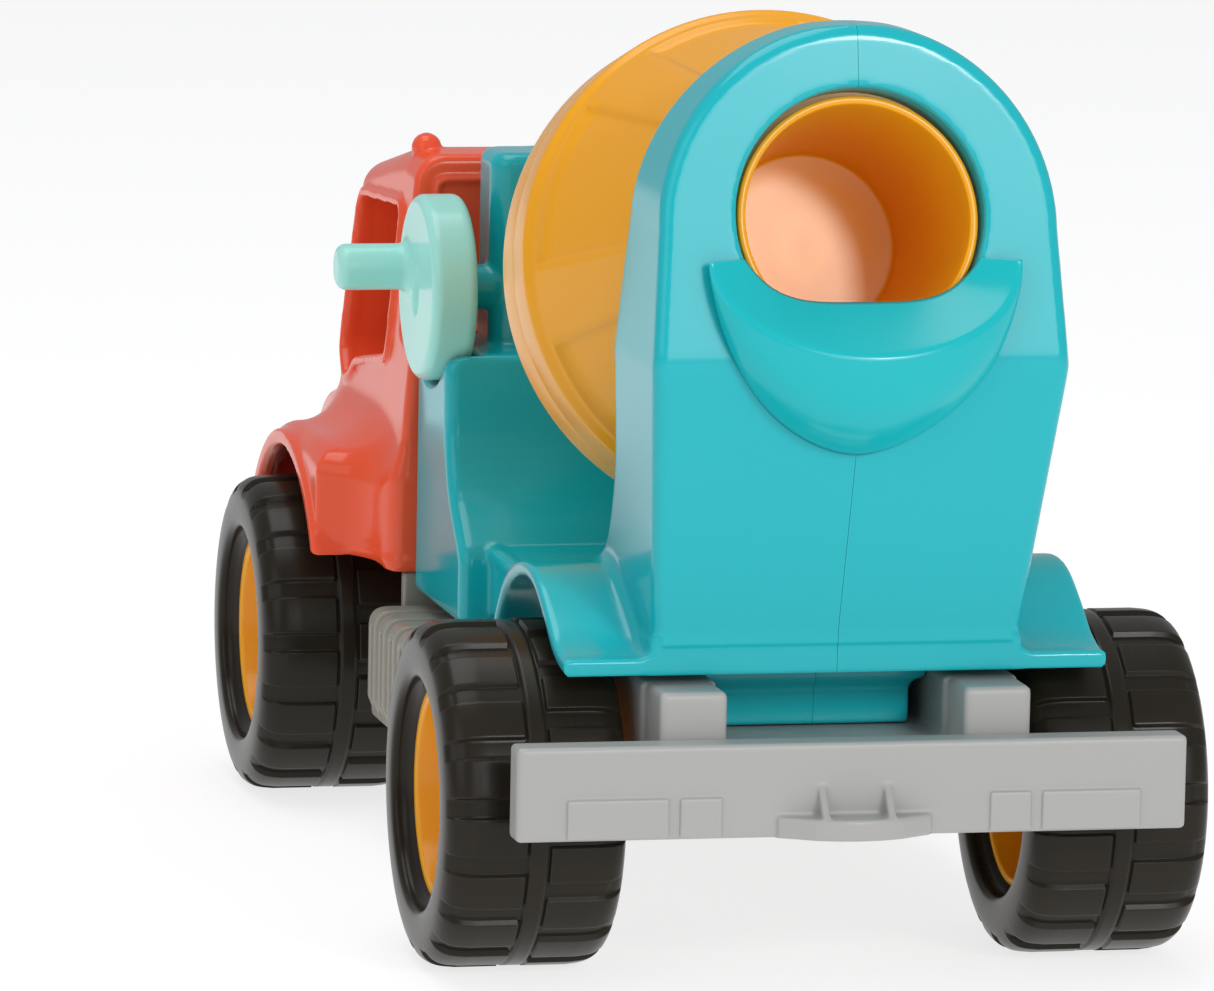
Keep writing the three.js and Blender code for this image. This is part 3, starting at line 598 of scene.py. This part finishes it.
# ---------- cab ----------
def cab_body(block, inset):
    down = 10 * inset
    above = CAB_ROOF + 9
    side = block.yz(rounded([
        (CAB_REAR - inset, CAB_BOTTOM - down), (CAB_REAR - inset, 126 - inset, 3),
        (-79 - inset, 129 - inset, 3), (-84 - inset, above), (-151.3 + inset, above),
        (-151.5 + inset, 105 - inset, 3), (-168 + inset, 101 - inset, 5), (CAB_FRONT + inset, 92, 5),
        (CAB_FRONT + inset, CAB_BOTTOM - down),
    ]))
    half = CAB_HALF - inset
    right = [(half, CAB_BOTTOM - down), (half, 96, 12), (62 - inset, 122, 12),
             (CAB_ROOF_HALF - 1 - inset, above)]
    walls = block.xz(rounded([*right, *mirrored(right)]))
    roof = block.z - np.interp(block.y, *zip(*CAB_ROOF_LINE)) + inset
    return meet(side, meet(walls, roof, 7.0), 2.0)


def cab_fender(block, inset):
    down = 10 * inset
    lip = CAB_LIP - 1.3 - inset
    sweep = smooth_curve([
        (lip, -85), (77, -82.6), (72, -79.4), (68, -75), (65.4, -69.5), (CAB_HALF, CAB_REAR),
    ], 6)
    back = [(x - inset, y - inset) for x, y in sweep[1:][::-1]]
    front = -175 + inset
    plan = block.xy(rounded([
        (0, CAB_REAR - inset), *back, (lip, -85 - inset), (lip, -90), (lip, -168 + inset, 4),
        (66 - inset, front), (0, front),
    ]))
    side = block.yz(rounded([
        (-64, CAB_FENDER_BOTTOM - down), (-64, 92 - inset), (-80, 96 - inset, 6), (-98, 98.5 - inset, 10),
        (-150, 97.5 - inset, 16), (-174 + inset, 82, 6), (front, CAB_FENDER_BOTTOM - down),
    ]))
    return meet(plan, side, 6.0)


def cab_half_shape(block):
    arch = block.rod_x(CAB_ARCH, FRONT_AXLE_Y, WHEEL_RADIUS)
    outer = join(cab_body(block, 0), cab_fender(block, 0), 12.0)
    lip = meet(np.abs(arch - 2.2) - 2.2, block.slab_x(74, CAB_LIP), 0.9)
    lip = meet(lip, CAB_FENDER_BOTTOM - block.z, 0.8)
    inner = join(cab_body(block, WALL), cab_fender(block, WALL), 12.0)
    hem = meet(outer - 0.7, block.slab_z(CAB_BOTTOM, CAB_FENDER_BOTTOM + 2.6), 0.6)
    shape = cut(join(join(outer, hem, 0.8), lip, 1.2), inner, 0.6)
    bottom = CAB_BOTTOM + (CAB_FENDER_BOTTOM - CAB_BOTTOM) * np.clip((-66 - block.y) / 7, 0, 1)
    shape = meet(shape, bottom - block.z, 0.8)
    shape = cut(shape, np.maximum(arch, 50 - block.x), 0.8)
    window = block.yz(rounded([
        (-148, 157, 4), (-95, 160, 4), (-91, 122, 3), (-118, 118, 4), (-130, 116, 3), (-137, 111, 3),
        (-142, 110, 2), (-148.5, 117, 3),
    ]))
    frame_line = meet(np.abs(window - 1.3) - 1.3, cab_body(block, -1.2), 0.5)
    shape = join(shape, np.maximum(frame_line, 45 - block.x), 0.5)
    shape = cut(shape, np.maximum(window, 40 - block.x), 0.7)
    windscreen = block.xz(rounded([(-50, 112, 6), (50, 112, 6), (46, 157, 6), (-46, 157, 6)]))
    shape = cut(shape, np.maximum(windscreen, block.y + 140), 0.8)
    rear_window = block.xz(rounded([(-52, 130, 3), (52, 130, 3), (51, 168.6, 3), (-51, 168.6, 3)]))
    line = meet(np.abs(rear_window) - 0.7, cab_body(block, -0.9), 0.4)
    shape = join(shape, np.maximum(line, -90 - block.y), 0.4)
    rails = block.box((-90, RAIL_OUTER + GAP), (-172, -50), (50, RAIL_TOP + GAP))
    shape = cut(shape, rails)
    centre = np.sqrt(
        (block.x - BEACON_X) ** 2 + (block.y - BEACON_Y) ** 2 + (block.z - CAB_ROOF + 0.3) ** 2)
    beacon = np.maximum(centre - BEACON_RADIUS, CAB_ROOF - 2.4 - block.z)
    return join(shape, beacon, 0.4)


def cab():
    """The cab is alike on both sides, so one side is shaped and repeated over the middle."""
    block = Block((-86, -182, 64), (86, -60, 185), 0.8)
    across = block.x
    block.x = np.abs(across)
    shape = cab_half_shape(block)
    block.x = across
    return block.surface("cab_moulding", shape)


fit(cab(), "cab_shell")


# ---------- chute ----------
TIP_Z = 178.0
CHUTE_HALF = 38.0
CHUTE_FLOOR_Z = 168.0
REAR_END = 185.0
BOWL_BEND = math.radians(72)


def face_y(z):
    """Y of the housing's rear face at that height."""
    upper = CREASE_Y - (CREASE_Y - HOUSING_TOP_Y) * (z - CREASE_Z) / (HOUSING_TOP - CREASE_Z)
    lower = CREASE_Y - (CREASE_Y - FOOT_Y) * (CREASE_Z - z) / (CREASE_Z - FOOT_Z)
    return np.minimum(upper, lower)


def chute():
    """A scoop lofted round from tip to tip, each section a closed loop of wall, floor, rim and belly."""
    tip_y = face_y(TIP_Z) + 4
    rows = []
    for turn in np.linspace(0, math.pi, 121):
        across, out = math.cos(turn), math.sin(turn)
        floor_z = CHUTE_FLOOR_Z + (TIP_Z - CHUTE_FLOOR_Z) * across ** 4
        floor_x = across * (29 - 0.6 * across ** 2)
        rim = np.array([CHUTE_HALF * across, tip_y + (REAR_END - tip_y) * out ** 1.3, TIP_Z - 21 * out])
        start = np.array([floor_x, face_y(floor_z) + GAP, floor_z])
        inner = rim - 1.6 * (rim - start) / np.linalg.norm(rim - start)
        foot_z = TIP_Z - 2 - 45 * out
        foot = np.array([36.5 * math.copysign(abs(across) ** 1.15, across), face_y(foot_z) + GAP, foot_z])
        lip_edge = rim - np.array([0.0, 0.3 * out, 1.3])
        bend = np.linspace(0, BOWL_BEND, 13)
        forward = ((np.cos(bend) - math.cos(BOWL_BEND)) / (1 - math.cos(BOWL_BEND)))[:, None]
        down = (np.sin(bend) / math.sin(BOWL_BEND))[:, None]
        belly = foot + (lip_edge - foot) * np.hstack([forward, forward, 1 - down])
        edge = (inner + lip_edge) / 2 + 0.8 * (rim - (inner + lip_edge) / 2)
        loop = [*np.linspace(start, inner, 14, endpoint=False), inner, edge, *belly]
        back = np.linspace(foot, start, 12)[1:-1]
        back[:, 1] = face_y(back[:, 2]) + GAP
        rows.append([*loop, *back])
    rows = np.array(rows)
    first, last = rows[:1].mean(axis=1, keepdims=True), rows[-1:].mean(axis=1, keepdims=True)
    rows = np.concatenate([first + 0 * rows[:1], rows, last + 0 * rows[:1]])
    return sheet_grid("chute_moulding", rows, close_u=False)


fit(chute(), "chute")


# ---------- drum ----------
PANELS = 6
PANEL_CENTRE = math.radians(160)
PANEL_HALF = math.radians(20)
PANEL_DEPTH = 0.9


def drum_point(radius, turn, along):
    """Turn runs from -X through up, seen from the mouth."""
    above = radius * np.sin(turn)
    y = DRUM_RING_Y + along * math.cos(DRUM_TILT) - above * math.sin(DRUM_TILT)
    z = DRUM_RING_Z + along * math.sin(DRUM_TILT) + above * math.cos(DRUM_TILT)
    return np.stack([-radius * np.cos(turn), y, z], axis=-1)


def drum_turns():
    """Columns round the drum, close together at the edges of the sunk panels."""
    turns = []
    edge = math.radians(0.7)
    for i in range(PANELS):
        middle = PANEL_CENTRE + i * 2 * math.pi / PANELS
        inside = np.linspace(middle - PANEL_HALF + edge, middle + PANEL_HALF - edge, 17)
        half_pitch = math.pi / PANELS
        land = np.linspace(middle + PANEL_HALF, middle + 2 * half_pitch - PANEL_HALF, 9)
        turns += [*inside, *land]
    return np.array(turns)


def dense(profile, step):
    """The profile with points added so that no stretch is longer than the step."""
    out = []
    for a, b in zip(profile, profile[1:]):
        a, b = np.array(a, float), np.array(b, float)
        parts = max(1, int(math.ceil(np.linalg.norm(b - a) / step)))
        out += [a + (b - a) * t / parts for t in range(parts)]
    return [*out, np.array(profile[-1], float)]


def turned_drum(name, profile, sunk):
    """A drum shell: a closed (radius, along) profile turned round the axis, its panels set in by sunk."""
    turns = drum_turns()
    offset = (turns - PANEL_CENTRE + math.pi / PANELS) % (2 * math.pi / PANELS) - math.pi / PANELS
    in_panel = (np.abs(offset) < PANEL_HALF - math.radians(0.3)).astype(float)
    rows = []
    for radius, along in profile:
        drop = PANEL_DEPTH * sunk(radius, along) * in_panel
        rows.append(drum_point(np.maximum(radius - drop, 0.0), turns, np.full_like(turns, along)))
    return sheet_grid(name, np.array(rows), close_u=False)


def lathe(name, profile, columns, place):
    """A profile of (radius, height) points turned round; place gives the points."""
    turns = np.linspace(0, 2 * math.pi, columns, endpoint=False)
    rows = []
    for radius, height in profile:
        rows.append(place(np.full_like(turns, radius), turns, np.full_like(turns, height)))
    return sheet_grid(name, np.array(rows), close_u=False)


def round_corners(profile, radius=1.0, steps=5):
    """An open profile with rounded corners; a third number in a point is that corner's own radius."""
    own = [q[2] if len(q) > 2 else radius for q in profile]
    p = [np.array(q[:2], float) for q in profile]
    path = [p[0]]
    for before, corner, after, reach in zip(p, p[1:], p[2:], own[1:]):
        a, b = before - corner, after - corner
        reach = min(reach, np.linalg.norm(a) * 0.45, np.linalg.norm(b) * 0.45)
        start, end = corner + a / np.linalg.norm(a) * reach, corner + b / np.linalg.norm(b) * reach
        path += [corner_curve(start, corner, end, t) for t in np.linspace(0, 1, steps)]
    path.append(p[-1])
    return path


def drum_rear():
    profile = round_corners([
        (0, 30), (24.5, 30), (28.5, 72), (57.5, 0), (60.3, DRUM_PARTING), (DRUM_RADIUS, DRUM_PARTING, 0.15),
        (DRUM_RADIUS, 0.4), (60.5, 2.4), (NECK_RADIUS, 80), (NECK_RADIUS, DRUM_MOUTH_END),
        (NECK_RADIUS - 2, DRUM_MOUTH_END), (22.5, 32), (0, 32),
    ], 0.9)
    top, bottom = 3.9, 74.0

    def sunk(radius, along):
        on_cone = abs(radius - (60.5 + (along - 2.2) * (NECK_RADIUS - 60.5) / 77.8)) < 0.25
        return float(on_cone and top < along < bottom)

    profile = split_at(profile, (top - 0.5, top, top + 0.05, bottom - 0.05, bottom))
    return turned_drum("drum_rear_moulding", profile, sunk)


def split_at(profile, places):
    """Adds points to the profile where it crosses the given heights, and along its long stretches."""
    out = []
    for a, b in zip(profile, profile[1:]):
        a, b = np.array(a, float), np.array(b, float)
        cuts = [0.0]
        for place in places:
            if (a[1] - place) * (b[1] - place) < 0 and np.linalg.norm(b - a) > 8:
                cuts.append((place - a[1]) / (b[1] - a[1]))
        out += [a + (b - a) * t for t in sorted(cuts)]
    return dense([*out, profile[-1]], 6.0)


def drum_front():
    seam = DRUM_PARTING - 2 * PARTING
    profile = round_corners([
        (4.3, -88), (34, -88), (60.5, RING_FRONT - 1.5), (DRUM_RADIUS, RING_FRONT),
        (DRUM_RADIUS, seam, 0.15), (60.3, seam), (60.3, RING_FRONT + 1), (32.4, -85.8), (8, -85.8),
        (8, -76), (4.3, -76), (4.3, -88),
    ], 0.9)
    top, bottom = RING_FRONT - 3.2, -80.0

    def sunk(radius, along):
        slope = (60.5 - 34) / (RING_FRONT - 1.5 - DRUM_FRONT_END)
        on_cone = abs(radius - 34 - (along - DRUM_FRONT_END) * slope) < 0.25
        return float(on_cone and bottom < along < top)

    profile = split_at(profile, (top + 0.5, top, top - 0.05, bottom + 0.05, bottom))
    return turned_drum("drum_front_moulding", profile, sunk)


fit(drum_rear(), "drum_rear_shell")
fit(drum_front(), "drum_front_shell")


# ---------- wheels ----------
BLOCKS = 18
TREAD_FLOOR = 1.3
BAND_HALF = 2.35


def wheel_point(side, axle_y):
    def place(radius, turn, across):
        x = side * (TRACK_HALF + across)
        return np.stack([x, axle_y + radius * np.cos(turn), WHEEL_RADIUS + radius * np.sin(turn)], axis=-1)
    return place


def tyre(name, side, axle_y):
    shoulder = smooth_curve([
        (41.9, 14.5), (41.6, 17.0), (40.9, 19.0), (39.4, 20.8), (37.0, 21.9), (34.0, 22.3), (31.0, 22.3),
        (29.3, 22.0), (28.3, 21.2), (28.1, 20.0),
    ], 3)
    outer = [(WHEEL_RADIUS, u) for u in (0.0, 1.2, BAND_HALF - 0.25)]
    outer += [(WHEEL_RADIUS, u) for u in (BAND_HALF, BAND_HALF + 0.1, BAND_HALF + 0.6, BAND_HALF + 0.75)]
    outer += [(WHEEL_RADIUS, u) for u in np.linspace(BAND_HALF + 1.0, 13.5, 8)]
    outer += [tuple(p) for p in shoulder] + [(27.6, 18.5), (26.4, 18.3)]
    left = [(r, -u) for r, u in reversed(outer[1:])]
    profile = np.array(left + outer)
    tangent = np.gradient(profile, axis=0)
    normal = np.stack([tangent[:, 1], -tangent[:, 0]], axis=1)
    normal /= np.linalg.norm(normal, axis=1)[:, None]

    place = wheel_point(side, axle_y)
    pitch = 2 * math.pi / BLOCKS
    marks = np.array((-0.5, -0.4, -0.3, -0.22, -0.186, -0.180, -0.158, -0.152, -0.1, 0.0,
                      0.1, 0.152, 0.158, 0.180, 0.186, 0.22, 0.3, 0.4))
    grooved = 1 - np.clip((np.abs(marks) - 0.157) / 0.024, 0, 1)
    turns = np.concatenate([(marks + i) * pitch for i in range(BLOCKS)])
    grooved = np.tile(grooved, BLOCKS)
    rows = []
    for (radius, across), (out_r, out_u) in zip(profile, normal):
        reach = abs(across)
        stagger = 0.25 * pitch * np.clip(across / BAND_HALF, -1, 1)
        if reach < BAND_HALF:
            depth = np.full_like(turns, 0.15)
        elif reach < BAND_HALF + 0.7:
            depth = np.full_like(turns, TREAD_FLOOR)
        else:
            fade = np.clip((radius - 37.5) / 3.0, 0, 1)
            depth = TREAD_FLOOR * grooved * fade
        rows.append(place(radius - depth * abs(out_r), turns + stagger, across - depth * out_u))
    return sheet_grid(name, np.array(rows))


def hub(name, side, axle_y):
    half = TYRE_WIDTH / 2
    profile = round_corners([
        (2.8, 9), (7.5, 9), (8.6, 8), (9.2, 3.4), (13, 3.0), (14, 4.4), (16, 4.4), (17, 3.2), (21.6, 3.8),
        (23.7, half - 5.4), (26.0, half - 5), (26.0, 5 - half), (23.9, 5 - half), (23.9, -2), (7.6, -2),
        (7, 1 - half), (2.8, 1 - half), (2.8, 9),
    ], 0.8, 4)
    return lathe(name, profile, 96, wheel_point(side, axle_y))


for end, axle_y in (("front", FRONT_AXLE_Y), ("rear", REAR_AXLE_Y)):
    for hand, side in (("left", 1), ("right", -1)):
        fit(tyre(f"{end}_{hand}_tread", side, axle_y), f"{end}_{hand}_tyre")
        fit(hub(f"{end}_{hand}_wheel_centre", side, axle_y), f"{end}_{hand}_hub")


# ---------- crank wheel ----------
HANDLE_Y = CRANK_Y - 12
HANDLE_Z = CRANK_Z + 3.9
HANDLE_RADIUS = 6.0
HANDLE_END = 82.6
DISH_RADIUS = 4.0


def crank_wheel():
    block = Block((50, CRANK_Y - 26, CRANK_Z - 26), (85, CRANK_Y + 26, CRANK_Z + 26), 0.5)
    wheel = meet(block.rod_x(CRANK_RADIUS, CRANK_Y, CRANK_Z), block.slab_x(CRANK_INNER, CRANK_OUTER), 2.6)
    length = block.slab_x(CRANK_INNER + 3, HANDLE_END)
    handle = meet(block.rod_x(HANDLE_RADIUS, HANDLE_Y, HANDLE_Z), length, 2.6)
    shape = join(wheel, handle, 2.5)
    oval = np.hypot(block.y - CRANK_Y, (block.z - CRANK_Z) * 0.55)
    dish = oval - DISH_RADIUS - 0.8 * (block.x - CRANK_OUTER)
    depth = np.maximum(CRANK_OUTER - 5 - block.x, block.x - CRANK_OUTER - 1)
    shape = cut(shape, np.maximum(dish, depth), 0.8)
    shape = cut(shape, np.maximum(block.rod_x(3.3, CRANK_Y, CRANK_Z), block.x - CRANK_OUTER + 5))
    return block.surface("crank_moulding", shape)


fit(crank_wheel(), "crank_wheel")


# ---------- chassis ----------
RAIL_WALL = 3.0
SADDLE_HALF = 9.0
SEAT_RADIUS = 2.8
SCREW_X = 37.0
SCREW_HOLES = ((20, 2.0), (92, 2.0), (FRONT_AXLE_Y + 6, 1.3), (REAR_AXLE_Y + 6, 1.3))


def chassis():
    """Two hollow rails, thicker over the rear axle, a cross deck and a saddle for each axle."""
    block = Block((-48, -168, 37), (48, 164, 76), 0.7)
    across = block.x
    block.x = np.abs(across)
    rail = block.box((RAIL_INNER, RAIL_OUTER), (RAIL_FRONT, RAIL_REAR), (RAIL_BOTTOM, RAIL_TOP), 1.5)
    sleeve = block.box((RAIL_INNER - 1, RAIL_OUTER + 1), (58, 146), (RAIL_BOTTOM, RAIL_TOP), 1.5)
    plate = meet(block.slab_y(-160, 148), meet(block.x - RAIL_INNER - 1, block.slab_z(*CHASSIS_DECK)), 0.5)
    shape = join(join(rail, sleeve, 0.5), plate, 1.2)
    for y in (FRONT_AXLE_Y, REAR_AXLE_Y):
        height = block.slab_z(RAIL_BOTTOM, CHASSIS_DECK[0] + 1)
        saddle = meet(block.slab_y(y - SADDLE_HALF, y + SADDLE_HALF), height, 0.8)
        shape = join(shape, meet(block.x - RAIL_OUTER, saddle, 0.5), 0.8)
    hollow = block.box((RAIL_INNER + RAIL_WALL, RAIL_OUTER - RAIL_WALL),
                       (RAIL_FRONT + RAIL_WALL, RAIL_REAR - RAIL_WALL), (20, RAIL_TOP - RAIL_WALL), 1.0)
    for y in (FRONT_AXLE_Y, REAR_AXLE_Y):
        solid = np.maximum(block.slab_y(y - SADDLE_HALF, y + SADDLE_HALF), block.z - CHASSIS_DECK[0] - 1)
        hollow = cut(hollow, solid)
    shape = cut(shape, hollow, 0.5)
    for y in (FRONT_AXLE_Y, REAR_AXLE_Y):
        slot = np.maximum(block.slab_y(y - SEAT_RADIUS, y + SEAT_RADIUS), block.z - WHEEL_RADIUS)
        shape = cut(shape, np.minimum(block.rod_x(SEAT_RADIUS, y, WHEEL_RADIUS), slot), 0.3)
    for y, radius in SCREW_HOLES:
        shape = cut(shape, block.rod_z(radius, SCREW_X, y))
    block.x = across
    return block.surface("chassis_moulding", shape)


fit(chassis(), "chassis_frame")


# ---------- bumpers and steps ----------
BUMPER_HALF = 81.8
BUMPER_BOTTOM = 40.6
BUMPER_TOP = 63.2
BUMPER_BACK = 171.3
HITCH_HALF = 18.8
PADS = ((45.2, 69.8), (32.4, 42.5), (-43.3, -33.2), (-70.3, -46))


def rear_bumper():
    block = Block((-84, 158, 38), (84, 182, 66), 0.5)
    height = (BUMPER_BOTTOM, BUMPER_TOP)
    shape = block.box((-BUMPER_HALF, BUMPER_HALF), (BUMPER_BACK - 9, BUMPER_BACK), height, 1.2)
    right = [(0, 179), (9, 177.6), (15, 174.4), (HITCH_HALF, 172.3)]
    plan = smooth_curve([*mirrored(right)[:-1], *right], 6)
    plan = block.xy([(-HITCH_HALF, 169), *plan, (HITCH_HALF, 169)])
    plate = meet(plan, block.slab_z(BUMPER_BOTTOM, BUMPER_BOTTOM + 5.2), 0.8)
    shape = join(shape, plate, 0.8)
    rib = block.yz([(169, 44), (177.2, 44), (177.2, 46), (BUMPER_BACK, 53.3), (169, 53.3)])
    for x in (-8, 8):
        shape = join(shape, meet(rib, block.slab_x(x - 1, x + 1), 0.4), 0.5)
    for low, high in PADS:
        pad = block.box((low, high), (BUMPER_BACK - 1, BUMPER_BACK + 0.9), (BUMPER_BOTTOM + 0.6, 50.6), 0.3)
        shape = join(shape, pad)
    return block.surface("rear_bumper_moulding", shape)


def front_bumper():
    block = Block((-83, -187, 38), (83, -164, 63), 0.6)
    right = [(60, -185, 8), (80, -178, 4), (80, -167)]
    plan = block.xy(rounded([*mirrored(right), *right]))
    shape = meet(plan, block.slab_z(BUMPER_BOTTOM, 60), 1.5)
    shape = cut(shape, block.rod_x(WHEEL_RADIUS + 1.5, FRONT_AXLE_Y, WHEEL_RADIUS), 0.5)
    middle = (RAIL_INNER + RAIL_OUTER) / 2
    notch = np.maximum(np.abs(np.abs(block.x) - middle) - (RAIL_OUTER - middle + GAP), -170 - block.y)
    return block.surface("front_bumper_moulding", cut(shape, notch, 0.3))


STEP_FRONT, STEP_REAR = -63.0, 52.0
STEP_BOTTOM, STEP_TOP = 30.0, 59.5
STEP_OUTER = 72.0


def side_step(hand):
    block = Block((44, -68, 28), (74, 54, 70), 0.6)
    inner = RAIL_OUTER + GAP
    body = block.xz(rounded([(inner, 48), (50, 48), (50, STEP_BOTTOM), (STEP_OUTER - 1.4, STEP_BOTTOM, 2),
                             (STEP_OUTER - 1.4, STEP_TOP - 1.4, 5), (inner, STEP_TOP - 1.4)]))
    shape = meet(body, block.slab_y(STEP_FRONT, STEP_REAR), 0.8)
    rib = block.xz(rounded([
        (51, 31), (STEP_OUTER - 2, 31), (STEP_OUTER, 36), (STEP_OUTER, STEP_TOP, 5), (51, STEP_TOP),
    ]))
    inset = block.xz(rounded([
        (54, 35), (STEP_OUTER - 1, 35), (STEP_OUTER - 1, STEP_TOP - 4, 4), (54, STEP_TOP - 4),
    ]))
    y = STEP_FRONT + 1.5
    while y < STEP_REAR - 4:
        bar = meet(rib, block.slab_y(y, y + 9), 0.9)
        shape = join(shape, cut(bar, meet(inset - 1.5, block.slab_y(y + 3.2, y + 5.8)), 0.3), 0.4)
        y += 12.5
    bracket = block.box((inner, 62.5), (STEP_FRONT - 3.2, CAB_REAR), (50, CAB_BOTTOM - GAP), 0.8)
    shape = join(shape, bracket, 1.0)
    return block.surface(f"{hand}_step_moulding", shape, flip_x=hand == "right")


fit(rear_bumper(), "rear_bumper")
fit(front_bumper(), "front_bumper")
fit(side_step("left"), "side_step_left")
fit(side_step("right"), "side_step_right")


# ---------- pieces kept from the frame: softened edges and their finish ----------
EDGE_WIDTH = 0.0004
EDGE_ANGLE = math.radians(35)

for node, piece in frame["nodes"].items():
    if piece.hide_render:
        continue
    piece.data.materials.clear()
    piece.data.materials.append(SLOT_MATERIAL[NODE_SLOT[node]])
    bevel = piece.modifiers.new("edge", "BEVEL")
    bevel.width = EDGE_WIDTH
    bevel.segments = 2
    bevel.limit_method = "ANGLE"
    bevel.angle_limit = EDGE_ANGLE


# ---------- floor, light and surroundings ----------
FLOOR_SIZE = 12
FLOOR_GREY = 0.28
FLOOR_GLOW = 0.76
SKY_COLOR = (0.93, 0.95, 1.0, 1)
SKY_STRENGTH = 0.45
LIGHT_AIM = Vector((0, 0, 0.1))


def floor():
    bpy.ops.mesh.primitive_plane_add(size=FLOOR_SIZE, location=(0, 0, 0))
    plane = bpy.context.object
    plane.name = "floor"
    material = bpy.data.materials.new("floor")
    material.use_nodes = True
    shader = material.node_tree.nodes["Principled BSDF"]
    shader.inputs["Base Color"].default_value = (FLOOR_GREY, FLOOR_GREY, FLOOR_GREY, 1)
    shader.inputs["Roughness"].default_value = 0.9
    shader.inputs["Emission Color"].default_value = (1, 1, 1, 1)
    shader.inputs["Emission Strength"].default_value = FLOOR_GLOW
    plane.data.materials.append(material)


def soft_light(name, place, size, power):
    data = bpy.data.lights.new(name, "AREA")
    data.shape = "RECTANGLE"
    data.size, data.size_y = size
    data.energy = power
    lamp = bpy.data.objects.new(name, data)
    lamp.location = place
    lamp.rotation_euler = (LIGHT_AIM - Vector(place)).to_track_quat("-Z", "Y").to_euler()
    bpy.context.collection.objects.link(lamp)


def surroundings():
    world = bpy.data.worlds.new("studio")
    bpy.context.scene.world = world
    world.use_nodes = True
    back = world.node_tree.nodes["Background"]
    back.inputs["Color"].default_value = SKY_COLOR
    back.inputs["Strength"].default_value = SKY_STRENGTH


floor()
soft_light("key", (-0.64, 2.2, 1.08), (0.28, 0.28), 10.5)
soft_light("bank", (-0.52, 2.3, 0.78), (1.3, 1.1), 13.5)
soft_light("side", (2.2, 1.7, 1.5), (2.0, 2.0), 11)
soft_light("top", (0.3, -0.1, 2.0), (1.6, 1.2), 16)
surroundings()
bpy.context.scene.view_settings.view_transform = "Standard"
